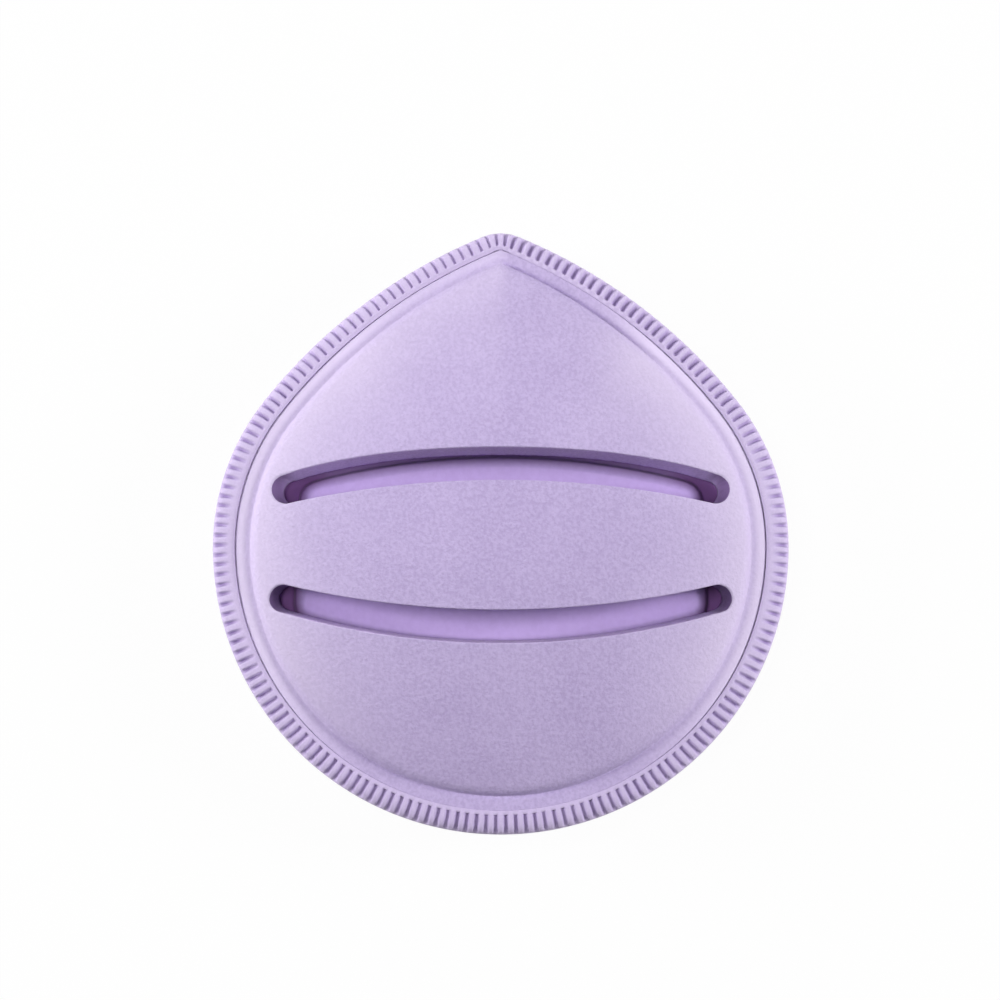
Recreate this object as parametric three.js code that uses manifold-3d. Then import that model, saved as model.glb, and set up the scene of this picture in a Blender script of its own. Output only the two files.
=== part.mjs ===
// A drop-shaped makeup puff with a moulded finger strap.
//
// It lies on its application face with the grip side up. X is the width, +Y points to the tip
// and +Z leaves the grip side. The origin is the middle of the bounding box, on the ground.
// Five pieces are stacked and bound together at the edge:
//   face_cover    velour skin that touches the cheek, a shallow bowl with an edge tongue
//   core_pad      soft foam that fills the bowl and rises as a cushion under the fingers
//   pocket_liner  thin smooth sheet draped over the cushion, the floor of the finger pocket
//   grip_cover    moulded foam dome with two arched slits, which leave the strap between them
//   ribbed_rim    ribbed edge binding, a channel that holds the tongues of both covers
// All sizes are in millimetres.

import * as THREE from 'three';
import { mergeVertices } from 'three/addons/utils/BufferGeometryUtils.js';
import Module from 'manifold-3d';

const DEGREE = Math.PI / 180;

// Plan outline: on each side three tangent arcs, then a small round tip
const BELLY_RADIUS = 40;
const SHOULDER_RADIUS = 32.8;
const FLANK_RADIUS = 75.24;
const SHOULDER_TURN = 38.1 * DEGREE;
const TIP_RADIUS = 6.65;

// The edge detail is slimmer towards the tip: every inset loses up to SLIM there
const SLIM = 1.2;
const SLIM_INSET = 5;

// The tip is sharpest along the seam; further in its radius grows by the square of the way
const SHARPEST_TIP = 0.3;
const SHARPEST_INSET = 3.3;
const TIP_GROWTH = 0.075;
const ROUNDING_INSET = 13;

// Edge stack: two tongues in the channel of the rim
const TONGUE = 0.7;
const GAP = 0.25;
const LIP = 0.75;
const CREST_STEP = 0.475;
const SHOULDER_STEP = GAP + LIP - CREST_STEP;
const RIM_WIDTH = 3;
const CHANNEL_INSET = 1.4;
const TONGUE_INSET = CHANNEL_INSET + 0.3;
const SHOULDER_INSET = RIM_WIDTH + GAP;

// Ribs of the rim
const RIB_COUNT = 178;
const RIB_SHARE = 0.58;
const RIBS_PER_SPAN = 2;

// Domes: foot inset, foot fillet, rolled side and crown, with the slopes where they meet
const GRIP_DOME = { foot: 5.1, fillet: 0.6, side: 3, sideSlope: 62, crownSlope: 25.9 };
const FACE_DOME = { foot: 4.4, fillet: 0.6, side: 7, sideSlope: 70, crownSlope: 15 };
const GRIP_THICKNESS = 3.8;
const FACE_THICKNESS = 1.5;
const FLAT_CUT = 0.5;

// Pocket and cushion
const POCKET_HEIGHT = 5.4;
const CUSHION_INSET = 12.6;
const CUSHION_DROOP = 0.8;
const CUSHION_ROLL = 0.9;
const LINER = 0.5;
const LINER_GAP = 0.1;
const MOAT_DEPTH = 1.3;
const MOAT_OUTER_INSET = 7.6;
const MOAT_WALL_LEAN = 0.3;
const CORE_LAND_DROP = 0.35;

// Slits: places are measured from the belly centre, +Y to the tip
const UPPER_SLIT = { middle: 10.76, arcRadius: 146, halfSpan: 29.8, halfWidth: 2.4, endRadius: 2.05, bend: 1 };
const LOWER_SLIT = { middle: -12.04, arcRadius: 104, halfSpan: 30.2, halfWidth: 2.45, endRadius: 1.9, bend: -1 };

const SLIT_STEPS = 14;
const SLIT_CAP_STEPS = 4;
const SLIT_CUT_ABOVE = 2;
const SLIT_CUT_BELOW = GRIP_THICKNESS + 3;

// Plan steps per half outline on the belly, shoulder, flank and tip
const PLAN_STEPS = [12, 6, 12, 4];

const lerp = THREE.MathUtils.lerp;
const wasm = await Module();
wasm.setup();

// Outline

function slimming(inset) {
  return SLIM * Math.min(1, inset / SLIM_INSET);
}

function tipRadius(inset) {
  if (inset < SHARPEST_INSET) return lerp(TIP_RADIUS, SHARPEST_TIP, inset / SHARPEST_INSET);
  return SHARPEST_TIP + TIP_GROWTH * (inset - SHARPEST_INSET) ** 2;
}

// The tangent arcs of the right half, from the bottom to the apex, about the belly centre
function rightArcs(inset) {
  const belly = BELLY_RADIUS - inset;
  const shoulder = SHOULDER_RADIUS - inset + slimming(inset);
  const flank = FLANK_RADIUS - inset + slimming(inset);
  const tip = tipRadius(inset);
  const shoulderX = belly - shoulder;
  const flankX = shoulderX + (shoulder - flank) * Math.cos(SHOULDER_TURN);
  const flankY = (shoulder - flank) * Math.sin(SHOULDER_TURN);
  const tipY = flankY + Math.sqrt((flank - tip) ** 2 - flankX ** 2);
  const tipTurn = Math.atan2(tipY - flankY, -flankX);
  return [
    { x: 0, y: 0, radius: belly, from: -Math.PI / 2, to: 0 },
    { x: shoulderX, y: 0, radius: shoulder, from: 0, to: SHOULDER_TURN },
    { x: flankX, y: flankY, radius: flank, from: SHOULDER_TURN, to: tipTurn },
    { x: 0, y: tipY, radius: tip, from: tipTurn, to: Math.PI / 2 },
  ];
}

// The whole outline, counter-clockwise from the bottom, as eight arcs
function outlineArcs(inset) {
  const right = rightArcs(inset);
  const left = right.map((arc) => ({
    x: -arc.x, y: arc.y, radius: arc.radius, from: Math.PI - arc.to, to: Math.PI - arc.from,
  }));
  return [...right, ...left.reverse()];
}

const [apexArc] = rightArcs(0).slice(-1);
const APEX = apexArc.y + TIP_RADIUS;
const CENTRE_Y = -(APEX - BELLY_RADIUS) / 2;

function arcPoint(arc, angle) {
  return new THREE.Vector2(arc.x + arc.radius * Math.cos(angle), arc.y + arc.radius * Math.sin(angle));
}

// One closed ring at an inset, about the belly centre. Deep rings shrink and turn circular.
function ring(inset) {
  const offset = Math.min(inset, ROUNDING_INSET);
  const arcs = outlineArcs(offset);
  const steps = [...PLAN_STEPS, ...[...PLAN_STEPS].reverse()];
  const points = arcs.flatMap((arc, index) =>
    Array.from({ length: steps[index] }, (_, step) =>
      arcPoint(arc, lerp(arc.from, arc.to, step / steps[index]))));
  if (inset <= ROUNDING_INSET) return points;
  const inner = BELLY_RADIUS - ROUNDING_INSET;
  const share = (BELLY_RADIUS - inset) / inner;
  return points.map((point) => {
    const circle = point.clone().setLength(inner);
    return point.clone().lerp(circle, 1 - share).multiplyScalar(share);
  });
}

// Solids

function solid(vertices, triangles) {
  const geometry = new THREE.BufferGeometry();
  geometry.setAttribute('position', new THREE.Float32BufferAttribute(vertices.flat(), 3));
  geometry.setIndex(triangles.flat());
  return geometry;
}

// A lathe whose turn follows the drop outline: the profile runs [inset, z] from the top centre
// outwards, down, and back to the bottom centre.
function dropLathe(profile) {
  const [top, ...rest] = profile;
  const bottom = rest.pop();
  const rings = rest.map(([inset, z]) => ring(inset).map((p) => [p.x, p.y + CENTRE_Y, z]));
  const count = rings[0].length;
  const vertices = [[0, CENTRE_Y, top[1]], ...rings.flat(), [0, CENTRE_Y, bottom[1]]];
  const last = vertices.length - 1;
  const triangles = [];
  for (let i = 0; i < count; i += 1) {
    const next = (i + 1) % count;
    triangles.push([0, 1 + i, 1 + next]);
    for (let k = 0; k < rings.length - 1; k += 1) {
      const inner = 1 + k * count;
      const outer = inner + count;
      triangles.push([inner + i, outer + i, outer + next], [inner + i, outer + next, inner + next]);
    }
    triangles.push([last - count + i, last, last - count + next]);
  }
  return solid(vertices, triangles);
}

// Outer profile of a dome above its foot: points with their slope, from the centre to the foot
function domeProfile(dome, crownSteps, sideSteps) {
  const side = dome.sideSlope * DEGREE;
  const crown = dome.crownSlope * DEGREE;
  const filletEnd = dome.foot + dome.fillet * Math.sin(side);
  const crownInset = filletEnd + dome.side * (Math.sin(side) - Math.sin(crown));
  const crownRadius = (BELLY_RADIUS - crownInset) / Math.sin(crown);
  const filletRise = dome.fillet * (1 - Math.cos(side));
  const sideRise = dome.side * (Math.cos(crown) - Math.cos(side));
  const rise = filletRise + sideRise + crownRadius * (1 - Math.cos(crown));
  const points = [];
  for (let i = 0; i <= crownSteps; i += 1) {
    const slope = crown * i / crownSteps;
    const inset = BELLY_RADIUS - crownRadius * Math.sin(slope);
    points.push({ inset, height: rise - crownRadius * (1 - Math.cos(slope)), slope });
  }
  for (let i = 1; i <= sideSteps; i += 1) {
    const slope = lerp(crown, side, i / sideSteps);
    const inset = filletEnd + dome.side * (Math.sin(side) - Math.sin(slope));
    points.push({ inset, height: filletRise + dome.side * (Math.cos(slope) - Math.cos(side)), slope });
  }
  points.push({ inset: dome.foot, height: 0, slope: 0 });
  return { points, rise, crownRadius };
}

// Levels, from the ground up
const face = domeProfile(FACE_DOME, 3, 4);
const grip = domeProfile(GRIP_DOME, 6, 3);
const FACE_FLANGE_Z = face.rise - FLAT_CUT;
const FACE_TONGUE_Z = FACE_FLANGE_Z + SHOULDER_STEP;
const FACE_LAND_Z = FACE_TONGUE_Z + TONGUE;
const CORE_LAND_Z = FACE_LAND_Z - CORE_LAND_DROP - LINER - LINER_GAP;
const GRIP_TONGUE_Z = FACE_LAND_Z + GAP;
const GRIP_FLANGE_Z = GRIP_TONGUE_Z + TONGUE + SHOULDER_STEP;
const RIM_MIDDLE_Z = (FACE_LAND_Z + GRIP_TONGUE_Z) / 2;
const HALF_CHANNEL = TONGUE + 1.5 * GAP;
const HALF_RIM = HALF_CHANNEL + LIP;
const GRIP_TOP_Z = GRIP_FLANGE_Z + grip.rise;
const GRIP_CENTRE_Z = GRIP_TOP_Z - grip.crownRadius;

// Face cover

// The inside of the face cover, moved inwards by a thickness, up to a given level
function faceInside(thickness, topZ) {
  const inside = face.points.slice(0, -1).map(({ inset, height, slope }) => [
    inset + thickness * Math.sin(slope),
    FACE_FLANGE_Z - height + thickness * Math.cos(slope),
  ]);
  const [edgeInset, edgeZ] = inside[inside.length - 1];
  const reach = (topZ - edgeZ) / Math.tan(FACE_DOME.sideSlope * DEGREE);
  return [...inside, [edgeInset - reach, topZ]];
}

function makeFaceCover() {
  const flatRadius = Math.sqrt(face.crownRadius ** 2 - (face.crownRadius - FLAT_CUT) ** 2);
  const outside = face.points
    .map(({ inset, height }) => [inset, FACE_FLANGE_Z - height])
    .filter(([inset]) => inset < BELLY_RADIUS - flatRadius);
  const tongue = [
    [TONGUE_INSET, FACE_LAND_Z],
    [TONGUE_INSET, FACE_TONGUE_Z],
    [SHOULDER_INSET, FACE_TONGUE_Z],
    [SHOULDER_INSET, FACE_FLANGE_Z],
  ];
  const rest = [[BELLY_RADIUS - flatRadius, 0], [BELLY_RADIUS, 0]];
  return dropLathe([...faceInside(FACE_THICKNESS, FACE_LAND_Z), ...tongue, ...outside.reverse(), ...rest]);
}

// Core pad and liner

// The upper surface of the cushion and its moat, raised by a thickness on every wall
function cushionTop(raise) {
  const crownZ = GRIP_TOP_Z - GRIP_THICKNESS - POCKET_HEIGHT - LINER - LINER_GAP + raise;
  const shoulderZ = crownZ - CUSHION_DROOP;
  const wallInset = CUSHION_INSET - CUSHION_ROLL - raise;
  const outerInset = MOAT_OUTER_INSET + raise;
  const landZ = CORE_LAND_Z + raise;
  const floorZ = landZ - MOAT_DEPTH;
  const middle = (BELLY_RADIUS + CUSHION_INSET) / 2;
  return [
    [BELLY_RADIUS, crownZ],
    [middle, crownZ - CUSHION_DROOP / 4],
    [CUSHION_INSET, shoulderZ],
    [wallInset + CUSHION_ROLL * 0.3, shoulderZ - CUSHION_ROLL * 0.3],
    [wallInset, shoulderZ - CUSHION_ROLL],
    [wallInset - MOAT_WALL_LEAN, floorZ],
    [outerInset + MOAT_WALL_LEAN, floorZ],
    [outerInset, landZ],
  ];
}

function makeCorePad() {
  return dropLathe([...cushionTop(0), ...faceInside(FACE_THICKNESS + GAP, CORE_LAND_Z).reverse()]);
}

function makePocketLiner() {
  const top = cushionTop(LINER_GAP + LINER);
  const underside = cushionTop(LINER_GAP);
  const hemInset = SLIM_INSET + 1.3;
  const hem = [[hemInset, top[top.length - 1][1]], [hemInset, underside[underside.length - 1][1]]];
  return dropLathe([...top, ...hem, ...underside.reverse()]);
}

// Grip cover

// The plan of a slit, about the belly centre: stations from its left end to its right end, each
// with its low and its high edge point. The ends are round, so both points meet there.
function slitStations(slit) {
  const arcY = slit.middle - slit.bend * slit.arcRadius;
  const endAngle = Math.asin(slit.halfSpan / slit.arcRadius);
  const station = (angle, halfWidth) => [-halfWidth, halfWidth].map((side) => {
    const radius = slit.arcRadius + slit.bend * side;
    return new THREE.Vector2(radius * Math.sin(angle), arcY + slit.bend * radius * Math.cos(angle));
  });
  const cap = (end) => Array.from({ length: SLIT_CAP_STEPS }, (_, step) => {
    const turn = (Math.PI / 2) * (step / SLIT_CAP_STEPS);
    const beyond = (slit.endRadius * Math.cos(turn)) / slit.arcRadius;
    return station(end * (endAngle + beyond), slit.endRadius * Math.sin(turn));
  });
  const middle = Array.from({ length: SLIT_STEPS + 1 }, (_, step) => {
    const share = lerp(-1, 1, step / SLIT_STEPS);
    return station(share * endAngle, lerp(slit.halfWidth, slit.endRadius, share ** 2));
  });
  return [...cap(-1), ...middle, ...cap(1).reverse()];
}

// A cutter square to the dome: the slit's plan drawn on the crown and carried along its normals
function slitCutter(slit) {
  const vertices = [];
  const carry = (point, distance) => {
    const rise = Math.sqrt(grip.crownRadius ** 2 - point.lengthSq());
    const scale = (grip.crownRadius + distance) / grip.crownRadius;
    vertices.push([point.x * scale, point.y * scale + CENTRE_Y, GRIP_CENTRE_Z + rise * scale]);
    return vertices.length - 1;
  };
  const sections = slitStations(slit).map(([low, high]) => {
    const closed = low.distanceTo(high) < 1e-6;
    const top = carry(low, SLIT_CUT_ABOVE);
    const bottom = carry(low, -SLIT_CUT_BELOW);
    if (closed) return [top, top, bottom, bottom];
    return [top, carry(high, SLIT_CUT_ABOVE), carry(high, -SLIT_CUT_BELOW), bottom];
  });
  const triangles = [];
  const add = (a, b, c) => {
    if (a !== b && b !== c && a !== c) triangles.push([a, b, c]);
  };
  for (let k = 0; k < sections.length - 1; k += 1) {
    for (let corner = 0; corner < 4; corner += 1) {
      const [a, b] = [sections[k][corner], sections[k][(corner + 1) % 4]];
      const [d, c] = [sections[k + 1][corner], sections[k + 1][(corner + 1) % 4]];
      add(a, d, c);
      add(a, c, b);
    }
  }
  return solid(vertices, triangles);
}

function toManifold(geometry) {
  const merged = mergeVertices(geometry);
  return new wasm.Manifold(new wasm.Mesh({
    numProp: 3,
    vertProperties: new Float32Array(merged.attributes.position.array),
    triVerts: new Uint32Array(merged.index.array),
  }));
}

function fromManifold(manifold) {
  const mesh = manifold.getMesh();
  const geometry = new THREE.BufferGeometry();
  geometry.setAttribute('position', new THREE.Float32BufferAttribute(mesh.vertProperties, 3));
  geometry.setIndex(Array.from(mesh.triVerts));
  return geometry;
}

function makeGripCover() {
  const outside = grip.points.map(({ inset, height }) => [inset, GRIP_FLANGE_Z + height]);
  const tongue = [
    [SHOULDER_INSET, GRIP_FLANGE_Z],
    [SHOULDER_INSET, GRIP_TONGUE_Z + TONGUE],
    [TONGUE_INSET, GRIP_TONGUE_Z + TONGUE],
    [TONGUE_INSET, GRIP_TONGUE_Z],
  ];
  const innerRadius = grip.crownRadius - GRIP_THICKNESS;
  const mouthSlope = Math.acos((GRIP_TONGUE_Z - GRIP_CENTRE_Z) / innerRadius);
  const innerSteps = 4;
  const inside = Array.from({ length: innerSteps + 1 }, (_, step) => {
    const slope = mouthSlope * (1 - step / innerSteps);
    return [BELLY_RADIUS - innerRadius * Math.sin(slope), GRIP_CENTRE_Z + innerRadius * Math.cos(slope)];
  });
  const shell = toManifold(dropLathe([...outside, ...tongue, ...inside]));
  const slits = [UPPER_SLIT, LOWER_SLIT].map((slit) => toManifold(slitCutter(slit)));
  return fromManifold(shell.subtract(slits[0]).subtract(slits[1]));
}

// Ribbed rim

// A point of the rim section at a distance along the outline, measured from the bottom
const RIM_ARCS = outlineArcs(0);
const ARC_LENGTHS = RIM_ARCS.map((arc) => arc.radius * (arc.to - arc.from));
const OUTLINE_LENGTH = ARC_LENGTHS.reduce((sum, length) => sum + length, 0);

function rimPoint(distance, inset, z) {
  let rest = distance % OUTLINE_LENGTH;
  let index = 0;
  while (index < ARC_LENGTHS.length - 1 && rest > ARC_LENGTHS[index]) {
    rest -= ARC_LENGTHS[index];
    index += 1;
  }
  const arc = RIM_ARCS[index];
  const angle = arc.from + rest / arc.radius;
  const towardsTip = Math.sin(angle) > 0 ? 1 - Math.abs(Math.cos(angle)) : 0;
  const reach = inset - slimming(inset) * towardsTip;
  const point = arcPoint(arc, angle);
  return [
    point.x - reach * Math.cos(angle),
    point.y - reach * Math.sin(angle) + CENTRE_Y,
    RIM_MIDDLE_Z + z,
  ];
}

// Ribbed rows of the section, lowest first: [inset, z, inset added in a groove, z lost in a groove]
const RIBBED_ROWS = [
  [0.14, -0.6, 0.1, 0],
  [0, 0.1, 0.16, 0],
  [0.22, 0.95, 0.3, 0.14],
  [0.95, 1.52, 0.08, 0.42],
  [2.05, 1.76, 0, 0.42],
];

// Smooth rows: over the bead, round the channel and back under the rim
const SMOOTH_ROWS = [
  [2.45, HALF_RIM],
  [2.85, HALF_RIM - 0.12],
  [RIM_WIDTH, HALF_RIM - 0.4],
  [RIM_WIDTH, HALF_CHANNEL],
  [CHANNEL_INSET, HALF_CHANNEL],
  [CHANNEL_INSET, -HALF_CHANNEL],
  [RIM_WIDTH, -HALF_CHANNEL],
  [RIM_WIDTH, -HALF_RIM + 0.4],
  [2.6, -HALF_RIM],
  [1, -HALF_RIM + 0.08],
  [0.4, -HALF_RIM + 0.5],
];

function makeRibbedRim() {
  const pitch = OUTLINE_LENGTH / RIB_COUNT;
  const stations = [0, RIB_SHARE, (1 + RIB_SHARE) / 2];
  const ribStations = RIB_COUNT * stations.length;
  const spans = RIB_COUNT / RIBS_PER_SPAN;
  const perSpan = ribStations / spans;
  const vertices = [];
  const addRow = (length, place) => {
    const first = vertices.length;
    for (let i = 0; i < length; i += 1) vertices.push(place(i));
    return { length, at: (i) => first + (i % length) };
  };
  const ribbed = RIBBED_ROWS.map(([inset, z, groovedInset, groovedZ]) => addRow(ribStations, (i) => {
    const place = i % stations.length;
    const distance = pitch * (Math.floor(i / stations.length) + stations[place]);
    const groove = place === stations.length - 1 ? 1 : 0;
    return rimPoint(distance, inset + groove * groovedInset, z - groove * groovedZ);
  }));
  const smooth = SMOOTH_ROWS.map(([inset, z]) =>
    addRow(spans, (i) => rimPoint(pitch * RIBS_PER_SPAN * (i + RIB_SHARE / 2), inset, z)));
  const triangles = [];
  const joinEqual = (low, high) => {
    for (let i = 0; i < low.length; i += 1) {
      triangles.push([low.at(i), low.at(i + 1), high.at(i + 1)], [low.at(i), high.at(i + 1), high.at(i)]);
    }
  };
  const joinFan = (fine, coarse, flip) => {
    const add = (a, b, c) => triangles.push(flip ? [a, c, b] : [a, b, c]);
    const half = perSpan / 2;
    for (let span = 0; span < spans; span += 1) {
      const start = span * perSpan;
      for (let k = 0; k < perSpan; k += 1) {
        const target = k < half ? span : span + 1;
        add(fine.at(start + k), fine.at(start + k + 1), coarse.at(target));
      }
      add(fine.at(start + half), coarse.at(span + 1), coarse.at(span));
    }
  };
  for (let k = 0; k < ribbed.length - 1; k += 1) joinEqual(ribbed[k], ribbed[k + 1]);
  joinFan(ribbed[ribbed.length - 1], smooth[0], false);
  for (let k = 0; k < smooth.length - 1; k += 1) joinEqual(smooth[k], smooth[k + 1]);
  joinFan(ribbed[0], smooth[smooth.length - 1], true);
  return solid(vertices, triangles);
}

// Assembly

const LILAC = { grip: 0xbcadd6, rim: 0xc9bae0, liner: 0xb196d2, core: 0xe9e2ee, face: 0xc3b2dc };

function piece(name, geometry, color, roughness) {
  const material = new THREE.MeshStandardMaterial({ color, roughness, metalness: 0 });
  const mesh = new THREE.Mesh(geometry, material);
  mesh.name = name;
  return mesh;
}

const puff = new THREE.Group();
puff.add(piece('face_cover', makeFaceCover(), LILAC.face, 1));
puff.add(piece('core_pad', makeCorePad(), LILAC.core, 0.95));
puff.add(piece('pocket_liner', makePocketLiner(), LILAC.liner, 0.6));
puff.add(piece('grip_cover', makeGripCover(), LILAC.grip, 0.9));
puff.add(piece('ribbed_rim', makeRibbedRim(), LILAC.rim, 0.8));

export default puff;
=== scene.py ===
"""A drop-shaped makeup puff with a moulded finger strap, dressed for a product picture.

The frame gives the place and the overall size of every piece. Sizes inside the classes are in
millimetres and insets are measured inwards from the outline, as a pattern cutter would; a mesh is
turned into metres once, when it is made. A span is a pair of values between which something comes
in smoothly, and SLACK is what two heights or insets may differ by and still count as level.
"""

from __future__ import annotations

import logging
import math
from collections.abc import Callable, Iterable, Mapping, Sequence
from dataclasses import dataclass
from enum import Enum
from functools import cached_property

import bpy
import numpy as np
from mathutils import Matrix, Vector
from mathutils.geometry import delaunay_2d_cdt

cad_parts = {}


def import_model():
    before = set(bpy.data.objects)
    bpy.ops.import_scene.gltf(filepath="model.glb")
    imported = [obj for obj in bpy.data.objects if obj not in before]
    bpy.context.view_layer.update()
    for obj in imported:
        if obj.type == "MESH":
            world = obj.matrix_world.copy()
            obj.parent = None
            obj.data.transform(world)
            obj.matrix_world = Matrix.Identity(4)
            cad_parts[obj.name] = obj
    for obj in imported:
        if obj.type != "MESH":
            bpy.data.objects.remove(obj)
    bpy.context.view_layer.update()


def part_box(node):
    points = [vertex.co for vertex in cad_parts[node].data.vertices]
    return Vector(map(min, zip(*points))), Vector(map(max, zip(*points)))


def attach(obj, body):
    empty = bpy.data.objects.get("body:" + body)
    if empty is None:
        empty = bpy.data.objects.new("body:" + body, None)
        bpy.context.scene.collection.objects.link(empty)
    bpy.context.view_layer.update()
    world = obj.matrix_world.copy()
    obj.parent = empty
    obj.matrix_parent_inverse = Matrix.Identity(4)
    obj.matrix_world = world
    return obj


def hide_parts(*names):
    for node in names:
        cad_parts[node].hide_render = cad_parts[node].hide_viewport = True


log = logging.getLogger("puff")

MM = 0.001
SLACK = 0.01
Colour = tuple[float, float, float]
Span = tuple[float, float]
Profile = list[tuple[float, float]]
Corners = list[tuple[float, float, float]]
Steps = tuple[int, int, int, int]


def smooth(low: float, high: float, values: np.ndarray) -> np.ndarray:
    """Smooth step from 0 at low to 1 at high.

    Args:
        low: Where the step starts.
        high: Where it ends.
        values: What is stepped.

    Returns:
        The stepped values, from 0 to 1.
    """
    share = np.clip((np.asarray(values) - low) / (high - low), 0.0, 1.0)
    return share * share * (3.0 - 2.0 * share)


def tipward(points: np.ndarray) -> np.ndarray:
    """Which way plan points lie from the belly centre: 1 at the tip and -1 at the bottom."""
    return points[:, 1] / np.maximum(np.linalg.norm(points, axis=1), 1e-6)


# Outline


@dataclass(frozen=True)
class Arc:
    """A circular arc in plan, about the belly centre.

    Attributes:
        x, y: Centre.
        radius: Radius.
        start, end: Angles in radians, counter-clockwise.
    """

    x: float
    y: float
    radius: float
    start: float
    end: float

    @property
    def length(self) -> float:
        """Length along the arc."""
        return self.radius * (self.end - self.start)

    def points(self, angles: np.ndarray) -> np.ndarray:
        """Plan points at the given angles, one row each."""
        return np.column_stack(
            (self.x + self.radius * np.cos(angles), self.y + self.radius * np.sin(angles))
        )


@dataclass(frozen=True)
class DropOutline:
    """The plan of the puff: tangent arcs for belly, shoulders, flanks and a small round tip.

    Attributes:
        belly, shoulder, flank, tip: Arc radii at the outer edge.
        shoulder_turn: Angle in degrees where the shoulder meets the flank.
        slim: How much of an inset is lost towards the tip, where the edge detail is slimmer.
        slim_inset: Inset from which the full slim is lost.
        sharpest_tip, sharpest_inset: Smallest tip radius, and the inset along the seam that has it.
        tip_growth: Growth of the tip radius with the square of the inset beyond that.
        rounding_inset: Inset from which the rings shrink and turn circular.
    """

    belly: float
    shoulder: float = 32.8
    flank: float = 75.24
    tip: float = 6.65
    shoulder_turn: float = 38.1
    slim: float = 1.2
    slim_inset: float = 5.0
    sharpest_tip: float = 0.3
    sharpest_inset: float = 3.3
    tip_growth: float = 0.075
    rounding_inset: float = 13.0

    def slimming(self, inset: np.ndarray | float) -> np.ndarray:
        """What an inset loses on the flanks."""
        return self.slim * np.minimum(1.0, inset / self.slim_inset)

    def tip_radius(self, inset: float) -> float:
        """Radius of the tip at an inset."""
        share = inset / self.sharpest_inset
        if share < 1.0:
            return self.tip + (self.sharpest_tip - self.tip) * share
        return self.sharpest_tip + self.tip_growth * (inset - self.sharpest_inset) ** 2

    def arcs(self, inset: float) -> list[Arc]:
        """The eight arcs of the outline at an inset, counter-clockwise from the bottom."""
        turn = math.radians(self.shoulder_turn)
        slimming = float(self.slimming(inset))
        belly = self.belly - inset
        shoulder = self.shoulder - inset + slimming
        flank = self.flank - inset + slimming
        tip = self.tip_radius(inset)
        shoulder_x = belly - shoulder
        flank_x = shoulder_x + (shoulder - flank) * math.cos(turn)
        flank_y = (shoulder - flank) * math.sin(turn)
        tip_y = flank_y + math.sqrt((flank - tip) ** 2 - flank_x**2)
        tip_turn = math.atan2(tip_y - flank_y, -flank_x)
        right = [
            Arc(0.0, 0.0, belly, -math.pi / 2, 0.0),
            Arc(shoulder_x, 0.0, shoulder, 0.0, turn),
            Arc(flank_x, flank_y, flank, turn, tip_turn),
            Arc(0.0, tip_y, tip, tip_turn, math.pi / 2),
        ]
        left = [Arc(-a.x, a.y, a.radius, math.pi - a.end, math.pi - a.start) for a in right]
        return right + left[::-1]

    def ring(self, inset: float, steps: Sequence[int]) -> np.ndarray:
        """One closed ring of the plan.

        Args:
            inset: Inset from the outer edge.
            steps: Points on the belly, shoulder, flank and tip of one side.

        Returns:
            The ring's points, counter-clockwise from the bottom.
        """
        arcs = self.arcs(min(inset, self.rounding_inset))
        counts = [*steps, *reversed(steps)]
        ring = np.vstack(
            [
                arc.points(arc.start + (arc.end - arc.start) * np.arange(count) / count)
                for arc, count in zip(arcs, counts)
            ]
        )
        if inset <= self.rounding_inset:
            return ring
        inner = self.belly - self.rounding_inset
        share = (self.belly - inset) / inner
        circle = ring / np.linalg.norm(ring, axis=1, keepdims=True) * inner
        return share * (share * ring + (1.0 - share) * circle)

    def stations(self, count: int) -> tuple[np.ndarray, np.ndarray, float]:
        """Even stations along the outer edge, from the bottom.

        Args:
            count: How many stations.

        Returns:
            Their points, the angles of their outward normals, and the length of the edge.
        """
        arcs = self.arcs(0.0)
        ends = np.cumsum([arc.length for arc in arcs])
        distances = np.arange(count) / count * ends[-1]
        index = np.searchsorted(ends, distances, side="right")
        points, angles = np.empty((count, 2)), np.empty(count)
        for k, arc in enumerate(arcs):
            here = index == k
            angles[here] = arc.start + (distances[here] - ends[k] + arc.length) / arc.radius
            points[here] = arc.points(angles[here])
        return points, angles, float(ends[-1])


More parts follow.
